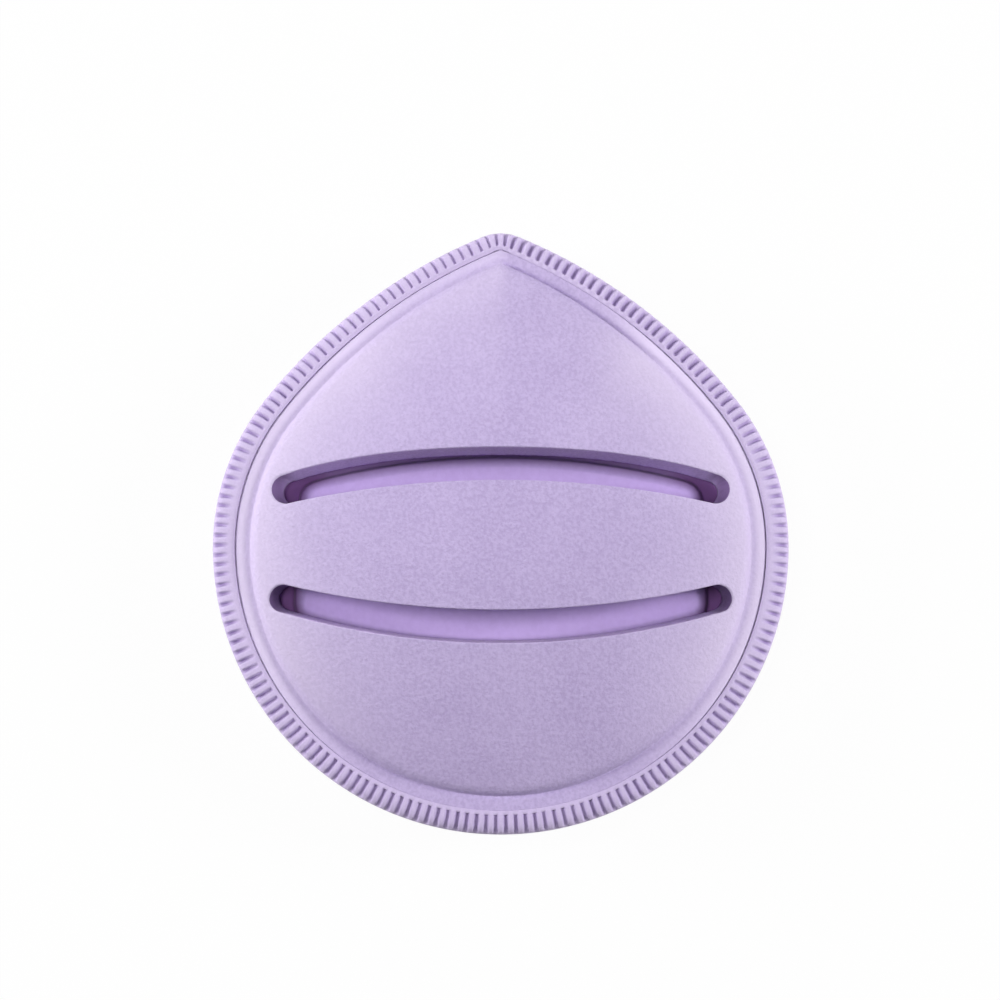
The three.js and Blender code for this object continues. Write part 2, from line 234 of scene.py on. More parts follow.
class InsetMap:
    """Tells the inset of any plan point, by rings tabulated over the polar angle."""

    RING_STEP = 0.05
    RING_POINTS = (500, 160, 320, 200)
    ANGLES = 2401

    def __init__(self, outline: DropOutline) -> None:
        """Tabulates the rings.

        Args:
            outline: The puff's plan.
        """
        self.outline = outline
        self.insets = np.arange(0.0, outline.rounding_inset + self.RING_STEP / 2, self.RING_STEP)
        self.angles = np.linspace(-math.pi, math.pi, self.ANGLES)
        self.radii = np.array([self._radii(inset) for inset in self.insets])

    def _radii(self, inset: float) -> np.ndarray:
        """Polar radii of a ring at the tabulated angles."""
        ring = self.outline.ring(inset, self.RING_POINTS)
        angle = np.arctan2(ring[:, 1], ring[:, 0])
        order = np.argsort(angle)
        radius = np.linalg.norm(ring, axis=1)
        return np.interp(self.angles, angle[order], radius[order], period=2 * math.pi)

    def __call__(self, points: np.ndarray) -> np.ndarray:
        """Insets of plan points.

        Args:
            points: Plan points about the belly centre, one row each.

        Returns:
            The insets; a point outside the outline gets 0.
        """
        radius = np.linalg.norm(points, axis=1)
        place = (np.arctan2(points[:, 1], points[:, 0]) + math.pi) / (2 * math.pi)
        place = place * (len(self.angles) - 1)
        low = np.minimum(place.astype(int), len(self.angles) - 2)
        share = place - low
        columns = self.radii[:, low] * (1 - share) + self.radii[:, low + 1] * share
        outside = (columns > radius).sum(axis=0)
        k = np.clip(outside - 1, 0, len(self.insets) - 2)
        pick = np.arange(len(radius))
        outer, inner = columns[k, pick], columns[k + 1, pick]
        shallow = (k + np.clip((outer - radius) / (outer - inner), 0.0, 1.0)) * self.RING_STEP
        core = self.outline.belly - self.outline.rounding_inset
        edge = columns[-1]
        root = np.sqrt(np.maximum(core**2 + 4 * (edge - core) * radius, 0.0))
        deep = self.outline.belly - core * 2 * radius / (core + root)
        return np.where(radius < edge, deep, shallow)


@dataclass(frozen=True)
class Dome:
    """A dome over the drop plan: a fillet at its foot, a rolled side and a wide crown.

    Attributes:
        belly: Radius of the plan's belly, which the insets count from.
        foot: Inset of the foot.
        fillet: Radius of the concave fillet at the foot.
        side: Radius of the rolled side.
        side_slope, crown_slope: Steepest slope of the side and of the crown, in degrees.
    """

    belly: float
    foot: float
    fillet: float
    side: float
    side_slope: float
    crown_slope: float

    @cached_property
    def _slopes(self) -> tuple[float, float]:
        """Side and crown slopes in radians."""
        return math.radians(self.side_slope), math.radians(self.crown_slope)

    @cached_property
    def fillet_end(self) -> float:
        """Inset where the fillet meets the rolled side."""
        return self.foot + self.fillet * math.sin(self._slopes[0])

    @cached_property
    def crown_start(self) -> float:
        """Inset where the rolled side meets the crown."""
        side, crown = self._slopes
        return self.fillet_end + self.side * (math.sin(side) - math.sin(crown))

    @cached_property
    def crown_radius(self) -> float:
        """Radius of the crown."""
        return (self.belly - self.crown_start) / math.sin(self._slopes[1])

    @cached_property
    def rise(self) -> float:
        """Height of the crown above the foot."""
        side, crown = self._slopes
        fillet = self.fillet * (1 - math.cos(side))
        rolled = self.side * (math.cos(crown) - math.cos(side))
        return fillet + rolled + self.crown_radius * (1 - math.cos(crown))

    def heights(self, insets: np.ndarray) -> np.ndarray:
        """Heights above the foot.

        Args:
            insets: Insets from the outer edge.

        Returns:
            The heights, 0 outside the foot.
        """
        side = self._slopes[0]
        fillet_rise = self.fillet * (1 - math.cos(side))
        reach = np.clip(self.belly - insets, 0.0, None)
        crown = self.rise - self.crown_radius
        crown = crown + np.sqrt(np.clip(self.crown_radius**2 - reach**2, 0.0, None))
        sine = np.clip(math.sin(side) - (insets - self.fillet_end) / self.side, 0.0, 1.0)
        rolled = fillet_rise + self.side * (np.sqrt(1 - sine**2) - math.cos(side))
        sine = np.clip((insets - self.foot) / self.fillet, 0.0, 1.0)
        fillet = self.fillet * (1 - np.sqrt(1 - sine**2))
        low = np.where(insets < self.fillet_end, fillet, rolled)
        return np.where(insets < self.crown_start, low, crown)


# Levels and edges that the pieces share


@dataclass(frozen=True)
class Stack:
    """Heights and plan places of the layers, in millimetres, read from the frame's boxes.

    Attributes:
        belly: Belly radius of the outline.
        centre_y: Where the belly centre lies.
        rim_middle, rim_half: Middle height and half thickness of the rim.
        grip_tongue: Underside of the grip cover's tongue.
        face_land: Upper face of the face cover's tongue.
        core_top: Highest point of the core pad.
        liner_low, liner_top: Lowest and highest point of the liner.
    """

    belly: float
    centre_y: float
    rim_middle: float
    rim_half: float
    grip_tongue: float
    face_land: float
    core_top: float
    liner_low: float
    liner_top: float

    @classmethod
    def from_frame(cls) -> Stack:
        """Reads the stack from the boxes of the frame's nodes."""
        boxes = {
            node: [Vector(corner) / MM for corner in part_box(node)]
            for node in ("ribbed_rim", "grip_cover", "face_cover", "core_pad", "pocket_liner")
        }
        rim_low, rim_high = boxes["ribbed_rim"]
        belly = (rim_high.x - rim_low.x) / 2
        return cls(
            belly=belly,
            centre_y=rim_low.y + belly,
            rim_middle=(rim_low.z + rim_high.z) / 2,
            rim_half=(rim_high.z - rim_low.z) / 2,
            grip_tongue=boxes["grip_cover"][0].z,
            face_land=boxes["face_cover"][1].z,
            core_top=boxes["core_pad"][1].z,
            liner_low=boxes["pocket_liner"][0].z,
            liner_top=boxes["pocket_liner"][1].z,
        )


@dataclass(frozen=True)
class Tongue:
    """The thin edge of a cover that the rim holds.

    Attributes:
        thickness: Its thickness.
        inset: Where it ends.
        shoulder: Inset where the thicker flange behind it ends.
        end_round, corner_round: Rounding of its end, and of its corner under the shoulder.
    """

    thickness: float = 0.7
    inset: float = 1.7
    shoulder: float = 3.25
    end_round: float = 0.15
    corner_round: float = 0.05

    def corners(self, land: float, way: int) -> Corners:
        """Its corners, from the shoulder out to its end and round to its land.

        Args:
            land: Height of the face that meets the other cover's tongue.
            way: 1 where the tongue is thick upwards from there, -1 where downwards.

        Returns:
            Inset, height and rounding of each.
        """
        far = land + way * self.thickness
        return [
            (self.shoulder, far, self.corner_round),
            (self.inset, far, self.end_round),
            (self.inset, land, self.end_round),
        ]


@dataclass(frozen=True)
class FusedSeam:
    """Where the seam between rim and flange is fused shut: at the bottom and round the tip.

    Attributes:
        tip: Span towards the tip over which it closes.
        across: Sideways span in which the left of the tip turns into the right.
        left: How far it is closed left of the tip.
        more: How much farther it is closed right of the tip.
        bottom: Span towards the bottom over which it closes.
    """

    tip: Span
    across: Span
    left: float
    more: float
    bottom: Span = (-0.2, -1.0)

    def at(self, towards_tip: np.ndarray, sideways: np.ndarray) -> np.ndarray:
        """How far the seam is closed.

        Args:
            towards_tip: The direction of each place, 1 at the tip and -1 at the bottom.
            sideways: How far right each lies, in the unit of across.

        Returns:
            From 0 where it is open to 1 where it is shut.
        """
        share = self.left + self.more * smooth(*self.across, sideways)
        return smooth(*self.bottom, towards_tip) + smooth(*self.tip, towards_tip) * share


# Meshes


def rounded(corners: Iterable[tuple[float, float, float]], steps: int = 5) -> Profile:
    """A profile with its inner corners rounded.

    Args:
        corners: Each corner's inset, height and rounding radius; the two ends aren't rounded.
        steps: Points on each rounding.

    Returns:
        The profile's points.
    """
    largest_share, least_reach, nearly_straight = 0.49, 1e-4, 1.56
    rows = list(corners)
    points = [Vector(row[:2]) for row in rows]
    out = [tuple(points[0])]
    for before, corner, after, row in zip(points, points[1:], points[2:], rows[1:]):
        back, ahead = before - corner, after - corner
        half_angle = back.angle(ahead) / 2
        reach = row[2] / max(math.tan(half_angle), 1e-6)
        reach = min(reach, back.length * largest_share, ahead.length * largest_share)
        if reach < least_reach or half_angle > nearly_straight:
            out.append(tuple(corner))
            continue
        start, end = corner + back.normalized() * reach, corner + ahead.normalized() * reach
        for k in range(steps + 1):
            t = k / steps
            out.append(tuple((1 - t) ** 2 * start + 2 * t * (1 - t) * corner + t**2 * end))
    out.append(tuple(points[-1]))
    return out


def add_mesh(
    name: str,
    vertices: np.ndarray,
    faces: Sequence[Sequence[int]],
    attributes: Mapping[str, np.ndarray] | None = None,
) -> bpy.types.Object:
    """Makes an object at the origin from vertices in millimetres.

    Args:
        name: The object's name.
        vertices: One row each, in the frame's axes.
        faces: Vertex indices of each face.
        attributes: Number attributes for the points, by name.

    Returns:
        The object, smooth shaded.
    """
    mesh = bpy.data.meshes.new(name)
    mesh.from_pydata((np.asarray(vertices) * MM).tolist(), [], [list(f) for f in faces])
    for key, values in (attributes or {}).items():
        add_attribute(mesh, key, values)
    mesh.polygons.foreach_set("use_smooth", [True] * len(mesh.polygons))
    mesh.update()
    piece = bpy.data.objects.new(name, mesh)
    bpy.context.scene.collection.objects.link(piece)
    log.info("%s: %d points, %d faces", name, len(mesh.vertices), len(mesh.polygons))
    return piece


def add_attribute(mesh: bpy.types.Mesh, name: str, values: np.ndarray) -> None:
    """Gives a mesh's points an attribute: one number each, or a row of three for a vector."""
    values = np.asarray(values, dtype=np.float32)
    kind, key = ("FLOAT", "value") if values.ndim == 1 else ("FLOAT_VECTOR", "vector")
    mesh.attributes.new(name, kind, "POINT").data.foreach_set(key, values.ravel())


def bridge(low: int, high: int, count: int) -> list[tuple[int, int, int, int]]:
    """Faces between two closed rings of vertices.

    Args:
        low: First vertex of one ring.
        high: First vertex of the other.
        count: Vertices in each.

    Returns:
        Quads that face outwards when the rings run counter-clockwise and high lies inwards.
    """
    return [
        (low + i, low + (i + 1) % count, high + (i + 1) % count, high + i) for i in range(count)
    ]


def band(first: np.ndarray, second: np.ndarray) -> list[list[int]]:
    """Quads between two closed loops, given by the indices of their vertices."""
    return np.column_stack((first, second, np.roll(second, -1), np.roll(first, -1))).tolist()


@dataclass(frozen=True)
class FingerBed:
    """Plan of the raised bed under the fingers: a band between the slits with round corners.

    Attributes:
        half_width: Half its width, level with the belly centre.
        taper: How much of the half width is lost for each millimetre towards the tip.
        high, low: How far it reaches towards the tip and the bottom, in the middle.
        high_radius, low_radius: Radii of those two edges.
        corner_power: How tight the corners are.
    """

    half_width: float = 26.6
    taper: float = 0.045
    high: float = 10.85
    low: float = 12.6
    high_radius: float = 98.0
    low_radius: float = 92.0
    corner_power: float = 60.0

    def ring(self, ways: np.ndarray, reach: float) -> np.ndarray:
        """One closed ring.

        Args:
            ways: Unit vectors from the belly centre to the ring's points, counter-clockwise.
            reach: Distance beyond the bed's edge, or less than 0 for a ring inside it.

        Returns:
            The ring's points.
        """
        cosine, sine = ways.T
        limits = [self.half_width / np.maximum(np.abs(cosine) + self.taper * sine, 1e-9)]
        edges = ((self.high, self.high_radius, sine), (self.low, self.low_radius, -sine))
        for far, radius, rise in edges:
            root = np.sqrt(rise**2 + 2 * cosine**2 * far / radius)
            limits.append(2 * far / np.maximum(rise + root, 1e-9))
        power = self.corner_power
        edge = ways * (sum(limit**-power for limit in limits) ** (-1 / power))[:, None]
        if reach <= 0:
            return edge * (1 + reach / self.half_width)
        along = np.roll(edge, -1, axis=0) - np.roll(edge, 1, axis=0)
        normal = np.column_stack((along[:, 1], -along[:, 0]))
        return edge + reach * normal / np.linalg.norm(normal, axis=1, keepdims=True)


@dataclass
class Lathe:
    """Turns a profile round the drop outline, as a lathe turns one round an axis.

    Attributes:
        outline: The plan.
        centre_y: Where the belly centre lies.
        bed_inset: Inset of the profile that stands for the finger bed's edge.
        bed_reach: How far beyond that edge the rings still follow the bed.
        bed: The finger bed's plan.
        steps: Points on the belly, shoulder, flank and tip of one side.
    """

    outline: DropOutline
    centre_y: float
    bed_inset: float
    bed_reach: float = 2.6
    bed: FingerBed = FingerBed()
    steps: Steps = (110, 44, 50, 14)

    def _ring(self, inset: float, bedded: bool) -> np.ndarray:
        """A ring of the plan, or of the finger bed where that is asked for and near enough."""
        reach = self.bed_inset - inset
        if not bedded or reach > self.bed_reach:
            return self.outline.ring(inset, self.steps)
        ring = self.outline.ring(self.bed_inset, self.steps)
        return self.bed.ring(ring / np.linalg.norm(ring, axis=1, keepdims=True), reach)

    def make(self, name: str, profile: Profile, bedded: int = 0) -> bpy.types.Object:
        """Builds a closed solid.

        Args:
            name: The object's name.
            profile: Insets and heights, from the top centre outwards, down and back.
            bedded: How many of the profile's points may follow the finger bed.

        Returns:
            The object.
        """
        (_, top), *rows, (_, bottom) = profile
        rings = []
        for k, (inset, z) in enumerate(rows):
            ring = self._ring(inset, k < bedded)
            ring[:, 1] += self.centre_y
            rings.append(np.column_stack((ring, np.full(len(ring), z))))
        count = len(rings[0])
        middle = [0.0, self.centre_y]
        vertices = np.vstack([[[*middle, top]], *rings, [[*middle, bottom]]])
        last = len(vertices) - 1
        faces: list[Sequence[int]] = [(0, 1 + i, 1 + (i + 1) % count) for i in range(count)]
        for k in range(len(rings) - 1):
            faces += bridge(1 + (k + 1) * count, 1 + k * count, count)
        faces += [(last - count + i, last, last - count + (i + 1) % count) for i in range(count)]
        return add_mesh(name, vertices, faces)


# Node trees


class Link:
    """An output socket, so that node maths is written as Python."""

    def __init__(self, graph: Graph, socket: bpy.types.NodeSocket) -> None:
        """Wraps a socket of a graph."""
        self.graph = graph
        self.socket = socket

    def _math(self, operation: str, first: Number, second: Number) -> Link:
        """Adds one Math node."""
        return self.graph.add("ShaderNodeMath", {"operation": operation}, {0: first, 1: second})

    def __add__(self, other: Number) -> Link:
        """Sum."""
        return self._math("ADD", self, other)

    def __sub__(self, other: Number) -> Link:
        """Difference."""
        return self._math("SUBTRACT", self, other)

    def __rsub__(self, other: Number) -> Link:
        """Difference from a number."""
        return self._math("SUBTRACT", other, self)

    def __mul__(self, other: Number) -> Link:
        """Product."""
        return self._math("MULTIPLY", self, other)

    def __pow__(self, other: Number) -> Link:
        """Power."""
        return self._math("POWER", self, other)

    __radd__ = __add__
    __rmul__ = __mul__


Number = Link | float


class Graph:
    """Adds nodes to a node tree."""

    def __init__(self, tree: bpy.types.NodeTree) -> None:
        """Wraps a tree."""
        self.tree = tree

    @classmethod
    def cleared(cls, owner: bpy.types.Material | bpy.types.World) -> Graph:
        """The emptied node tree of a material or a world."""
        owner.use_nodes = True
        owner.node_tree.nodes.clear()
        return cls(owner.node_tree)

    def add(
        self,
        kind: str,
        settings: Mapping[str, object] | None = None,
        inputs: Mapping[int | str, object] | None = None,
        output: int | str = 0,
    ) -> Link:
        """Adds a node.

        Args:
            kind: The node's type.
            settings: Its settings, which are set first.
            inputs: Values or links of its sockets, by name or index.
            output: Which output is returned.

        Returns:
            The output.
        """
        node = self.tree.nodes.new(kind)
        for key, value in (settings or {}).items():
            setattr(node, key, value)
        for key, value in (inputs or {}).items():
            if isinstance(value, Link):
                self.tree.links.new(value.socket, node.inputs[key])
            else:
                node.inputs[key].default_value = value
        return Link(self, node.outputs[output] if node.outputs else None)

    def ramp(
        self, value: Link, low: Number, high: Number, first: float = 0.0, last: float = 1.0
    ) -> Link:
        """Smooth step of a value, from first at low to last at high."""
        return self.add(
            "ShaderNodeMapRange",
            {"interpolation_type": "SMOOTHSTEP"},
            {"Value": value, "From Min": low, "From Max": high, "To Min": first, "To Max": last},
        )

    def blend(self, factor: Number, first: object, second: object) -> Link:
        """Mixes two colours."""
        return self.add(
            "ShaderNodeMix", {"data_type": "RGBA"}, {0: factor, 6: first, 7: second}, output=2
        )

    def attribute(self, name: str, kind: str = "FLOAT") -> Link:
        """A named attribute of the mesh, in a tree of Geometry Nodes."""
        return self.add("GeometryNodeInputNamedAttribute", {"data_type": kind}, {"Name": name})


def linear(red: int, green: int, blue: int) -> Colour:
    """A linear colour from 8-bit sRGB values."""
    values = [v / 255 for v in (red, green, blue)]
    return tuple(v / 12.92 if v <= 0.04045 else ((v + 0.055) / 1.055) ** 2.4 for v in values)


# Finishes


@dataclass(frozen=True)
class SoftFinish:
    """A matt soft surface with a fine grain.

    Attributes:
        name: The material's name.
        colour: Main colour.
        shade: Colour of the low places of the grain.
        grain: Size of a grain in millimetres.
        relief: Depth of the grain in millimetres.
        blotch: Share of slow colour change over the surface.
        roughness: Surface roughness.
        sheen: Weight of the fuzz sheen.
        tint: Attribute that mixes in tint_colour, or an empty name.
        tint_colour: Colour mixed in by the tint attribute.
    """

    GRAIN_SPAN = (0.32, 0.68)
    BLOTCH_SIZE = 12
    BLOTCH_SPAN = (0.35, 0.65)
    SPECULAR_LEVEL = 0.2
    SHEEN_ROUGHNESS = 0.6

    name: str
    colour: Colour
    shade: Colour
    grain: float
    relief: float
    blotch: float = 0.3
    roughness: float = 0.95
    sheen: float = 0.15
    tint: str = ""
    tint_colour: Colour = (1.0, 1.0, 1.0)

    def material(self) -> bpy.types.Material:
        """Builds the material.

        Returns:
            The material, with its grain on object coordinates.
        """
        material = bpy.data.materials.new(self.name)
        graph = Graph.cleared(material)
        place = graph.add("ShaderNodeTexCoord", output="Object")
        fine = graph.add(
            "ShaderNodeTexNoise",
            {"noise_dimensions": "3D"},
            {"Vector": place, "Scale": 1 / (self.grain * MM), "Detail": 3.0, "Roughness": 0.6},
        )
        slow = graph.add(
            "ShaderNodeTexNoise",
            {},
            {"Vector": place, "Scale": 1 / (self.BLOTCH_SIZE * MM), "Detail": 2.0},
        )
        grain = graph.ramp(fine, *self.GRAIN_SPAN)
        depth = grain * (1 - self.blotch) + graph.ramp(slow, *self.BLOTCH_SPAN) * self.blotch
        colour = graph.blend(depth, (*self.shade, 1.0), (*self.colour, 1.0))
        if self.tint:
            share = graph.add("ShaderNodeAttribute", {"attribute_name": self.tint}, output="Fac")
            colour = graph.blend(share, colour, (*self.tint_colour, 1.0))
        bump = graph.add(
            "ShaderNodeBump", {}, {"Strength": 1.0, "Distance": self.relief * MM, "Height": fine}
        )
        surface = graph.add(
            "ShaderNodeBsdfPrincipled",
            {},
            {
                "Base Color": colour,
                "Roughness": self.roughness,
                "Specular IOR Level": self.SPECULAR_LEVEL,
                "Sheen Weight": self.sheen,
                "Sheen Roughness": self.SHEEN_ROUGHNESS,
                "Normal": bump,
            },
        )
        graph.add("ShaderNodeOutputMaterial", {}, {"Surface": surface})
        return material


LILAC = linear(196, 180, 221)
LILAC_SHADE = linear(177, 160, 204)


class Finish(Enum):
    """The finishes of the puff."""

    # Painted highlight: the tint paints the dome paler towards its left, right and upper edges,
    # where the side lights fall, and less at the bottom.
    GRIP_FOAM = SoftFinish(
        "grip_foam", LILAC, LILAC_SHADE, grain=0.5, relief=0.17, blotch=0.22,
        tint="painted_edge_light", tint_colour=linear(230, 217, 242),
    )
    # Painted highlight: the same tint paints the flange paler; this finish is the flange's own.
    FLANGE_FOAM = SoftFinish(
        "flange_foam", LILAC, LILAC_SHADE, grain=0.5, relief=0.1, blotch=0.22,
        tint="painted_edge_light", tint_colour=linear(231, 217, 248),
    )
    # Painted shade: the tint paints the slit walls darker at their round ends, where shade falls.
    CUT_FOAM = SoftFinish(
        "cut_foam", linear(209, 185, 235), linear(189, 163, 217), grain=0.35, relief=0.12,
        sheen=0.05, tint="painted_end_shade", tint_colour=linear(124, 99, 146),
    )
    # Painted shade: the depth tint paints the liner dark plum down in the hollow round the cushion.
    LINER_SHEET = SoftFinish(
        "liner_sheet", linear(198, 173, 230), linear(191, 165, 223), grain=0.9, relief=0.01,
        roughness=0.7, sheen=0.1, tint="depth", tint_colour=linear(126, 84, 146),
    )
    # Painted shade: the groove tint paints the grooves darker, and the whole rim darker at the
    # bottom.
    RIM_BINDING = SoftFinish(
        "rim_binding", linear(211, 196, 231), linear(202, 186, 224), grain=0.25, relief=0.02,
        tint="groove", tint_colour=linear(160, 141, 187),
    )
    VELOUR_SKIN = SoftFinish(
        "velour_skin", LILAC, linear(182, 165, 210), grain=0.22, relief=0.08, sheen=0.5
    )
    CORE_FOAM = SoftFinish(
        "core_foam", linear(238, 232, 242), linear(222, 214, 228), grain=0.5, relief=0.15
    )


def dress(piece: bpy.types.Object, *finishes: Finish) -> bpy.types.Object:
    """Gives a piece its materials, in order.

    Args:
        piece: The piece.
        finishes: Their finishes.

    Returns:
        The same piece.
    """
    for finish in finishes:
        piece.data.materials.append(finish.value.material())
    return piece


# Grip cover


@dataclass(frozen=True)
class Slit:
    """An arched slit in the dome, in plan about the belly centre.

    Attributes:
        middle: Height of its middle along Y.
        arc_radius: Radius of its centre line.
        half_span: Half the distance between the centres of its round ends.
        half_width: Half width in the middle.
        end_radius: Radius of its ends.
        bend: 1 where it arches to the tip, -1 where it hangs to the bottom.
        bulge: How much wider its outer side is between the middle and the ends.
        wall_lean, end_lean: How far the foam's underside reaches in at its outer side and its ends.
        roughness: How far the cut edge wanders.
        wander_reach: Distance into the foam over which that dies away.
        edge_steps, cap_steps: Points along each side, and on a quarter of a round end.
    """

    middle: float
    arc_radius: float
    half_span: float
    half_width: float
    end_radius: float
    bend: int
    bulge: float = 0.0
    wall_lean: float = 0.0
    end_lean: float = 0.0
    roughness: float = 0.02
    wander_reach: float = 0.25
    edge_steps: int = 260
    cap_steps: int = 12

    @cached_property
    def _arc_y(self) -> float:
        """Y of the centre line's own centre."""
        return self.middle - self.bend * self.arc_radius

    @cached_property
    def _end_angle(self) -> float:
        """Angle of the end's centre."""
        return math.asin(self.half_span / self.arc_radius)

    def _half_width_at(self, share: np.ndarray, outer: np.ndarray | bool) -> np.ndarray:
        """Half width at a share of the span from the middle, on the outer or the inner side."""
        bulge = np.where(outer, 4 * self.bulge * share**2 * (1 - share**2), 0.0)
        return self.half_width + (self.end_radius - self.half_width) * share**2 + bulge

    def _wander(self, count: int) -> np.ndarray:
        """How far each point of the cut edge wanders from its line."""
        noise = np.random.default_rng(7 + self.bend).normal(size=count)
        return self.roughness * (np.roll(noise, 1) + 2 * noise + np.roll(noise, -1)) / 4

    def loop(self, offset: float) -> np.ndarray:
        """The slit's edge, moved outwards by an offset.

        Args:
            offset: Distance into the foam.

        Returns:
            A closed loop of points, clockwise seen from above.
        """
        share = np.linspace(-1.0, 1.0, self.edge_steps + 1)
        turn = math.pi / 2 * np.arange(1, self.cap_steps) / self.cap_steps
        end = self.end_radius + offset
        cap_angle = self._end_angle + end * np.sin(turn) / self.arc_radius
        cap_width = end * np.cos(turn)
        tip = [self._end_angle + end / self.arc_radius]
        angles = np.concatenate((share * self._end_angle, cap_angle, tip, cap_angle[::-1]))
        angles = np.concatenate((angles, -angles))
        first, second = (self._half_width_at(share, self.bend == way) + offset for way in (1, -1))
        cap = np.concatenate((cap_width, [0.0], -cap_width[::-1]))
        widths = np.concatenate((first, cap, -second, -cap))
        wander = self._wander(len(widths)) * math.exp(-offset / self.wander_reach)
        widths += np.sign(widths) * wander
        radius = self.arc_radius + self.bend * widths
        return np.column_stack(
            (radius * np.sin(angles), self._arc_y + self.bend * radius * np.cos(angles))
        )

    def shares(self, points: np.ndarray) -> np.ndarray:
        """Where plan points lie along the slit: 0 in the middle, 1 and -1 at the ends' centres."""
        from_arc = points - np.array([0.0, self._arc_y])
        return np.arctan2(from_arc[:, 0], self.bend * from_arc[:, 1]) / self._end_angle

    def distances(self, points: np.ndarray) -> np.ndarray:
        """Distances of plan points from the slit's edge, less than 0 inside the slit."""
        share = np.clip(self.shares(points), -1.0, 1.0)
        nearest = np.column_stack(
            (
                self.arc_radius * np.sin(share * self._end_angle),
                self._arc_y + self.bend * self.arc_radius * np.cos(share * self._end_angle),
            )
        )
        half_width = self._half_width_at(share, self.is_outer(points))
        return np.linalg.norm(points - nearest, axis=1) - half_width

    def is_outer(self, points: np.ndarray) -> np.ndarray:
        """Which plan points lie on the outer side of the slit's arc."""
        return np.hypot(points[:, 0], points[:, 1] - self._arc_y) > self.arc_radius


@dataclass(frozen=True)
class Crease:
    """The crease pressed into the dome's foot, right of the tip and at the bottom.

    Attributes:
        depth, width: Its depth right of the tip, and half its width.
        tip, right: Spans towards the tip and to the right over which it comes in.
        bottom, bottom_share: Span towards the bottom, and its depth there as a share.
    """

    depth: float = 0.34
    width: float = 0.11
    tip: Span = (0.7, 0.9)
    right: Span = (-0.5, 1.5)
    bottom: Span = (-0.7, -0.95)
    bottom_share: float = 0.6

    def depths(self, plan: np.ndarray, beyond: np.ndarray) -> np.ndarray:
        """Depth of the crease.

        Args:
            plan: Plan points.
            beyond: How far inside the dome's foot they lie.

        Returns:
            The depths, 0 away from the crease.
        """
        sine = tipward(plan)
        here = smooth(*self.tip, sine) * smooth(*self.right, plan[:, 0])
        here = here + self.bottom_share * smooth(*self.bottom, sine)
        return self.depth * here * np.exp(-(((beyond - self.width) / self.width) ** 2))


@dataclass(frozen=True)
class PaintedEdgeLight:
    """Painted highlight: how much paler the foam is painted towards its edge, in place of light
    from the side lights.

    Attributes:
        dome, dome_reach: Painted highlight at the dome's foot, and the distance over which it
            fades.
        dip, dip_reach: Painted shade close to the foot, taken off the highlight, and how that
            fades.
        flange_loss, flange: What is lost on the flange, and the insets over which it is.
        foot_margin: How far inside the foot the dome's own painted highlight starts.
        side: Span over which the painted highlight comes in from the bottom up the sides.
        tip, tip_loss: Span towards the tip where it is lost again, and how much on the left.
        right, right_loss: Sideways span from there to the right, and how much more is lost.
    """

    dome: float = 0.78
    dome_reach: float = 6.0
    dip: float = 0.3
    dip_reach: float = 1.0
    flange_loss: float = 0.55
    flange: Span = (4.0, 4.9)
    foot_margin: float = 0.05
    side: Span = (-1.0, -0.35)
    tip: Span = (0.78, 0.97)
    tip_loss: float = 0.4
    right: Span = (-1.0, 2.0)
    right_loss: float = 0.5

    def at(self, plan: np.ndarray, insets: np.ndarray, foot: float) -> np.ndarray:
        """How much the painted highlight lightens the foam.

        Args:
            plan: Plan points.
            insets: Their insets.
            foot: Inset of the dome's foot.

        Returns:
            From 0 to 1; least at the bottom and the right of the tip, which the lights reach least.
        """
        sine = tipward(plan)
        beyond = np.clip(insets - foot, 0.0, None)
        on_dome = self.dome * np.exp(-beyond / self.dome_reach)
        # The dip paints shade close to the foot, where the dome shades the flange.
        on_dome = on_dome - self.dip * np.exp(-beyond / self.dip_reach)
        on_flange = 1.0 - self.flange_loss * smooth(*self.flange, insets)
        loss = self.tip_loss + self.right_loss * smooth(*self.right, plan[:, 0])
        kept = 1.0 - smooth(*self.tip, sine) * loss
        painted_edge_light = np.where(beyond > self.foot_margin, on_dome, on_flange)
        return painted_edge_light * smooth(*self.side, sine) * kept


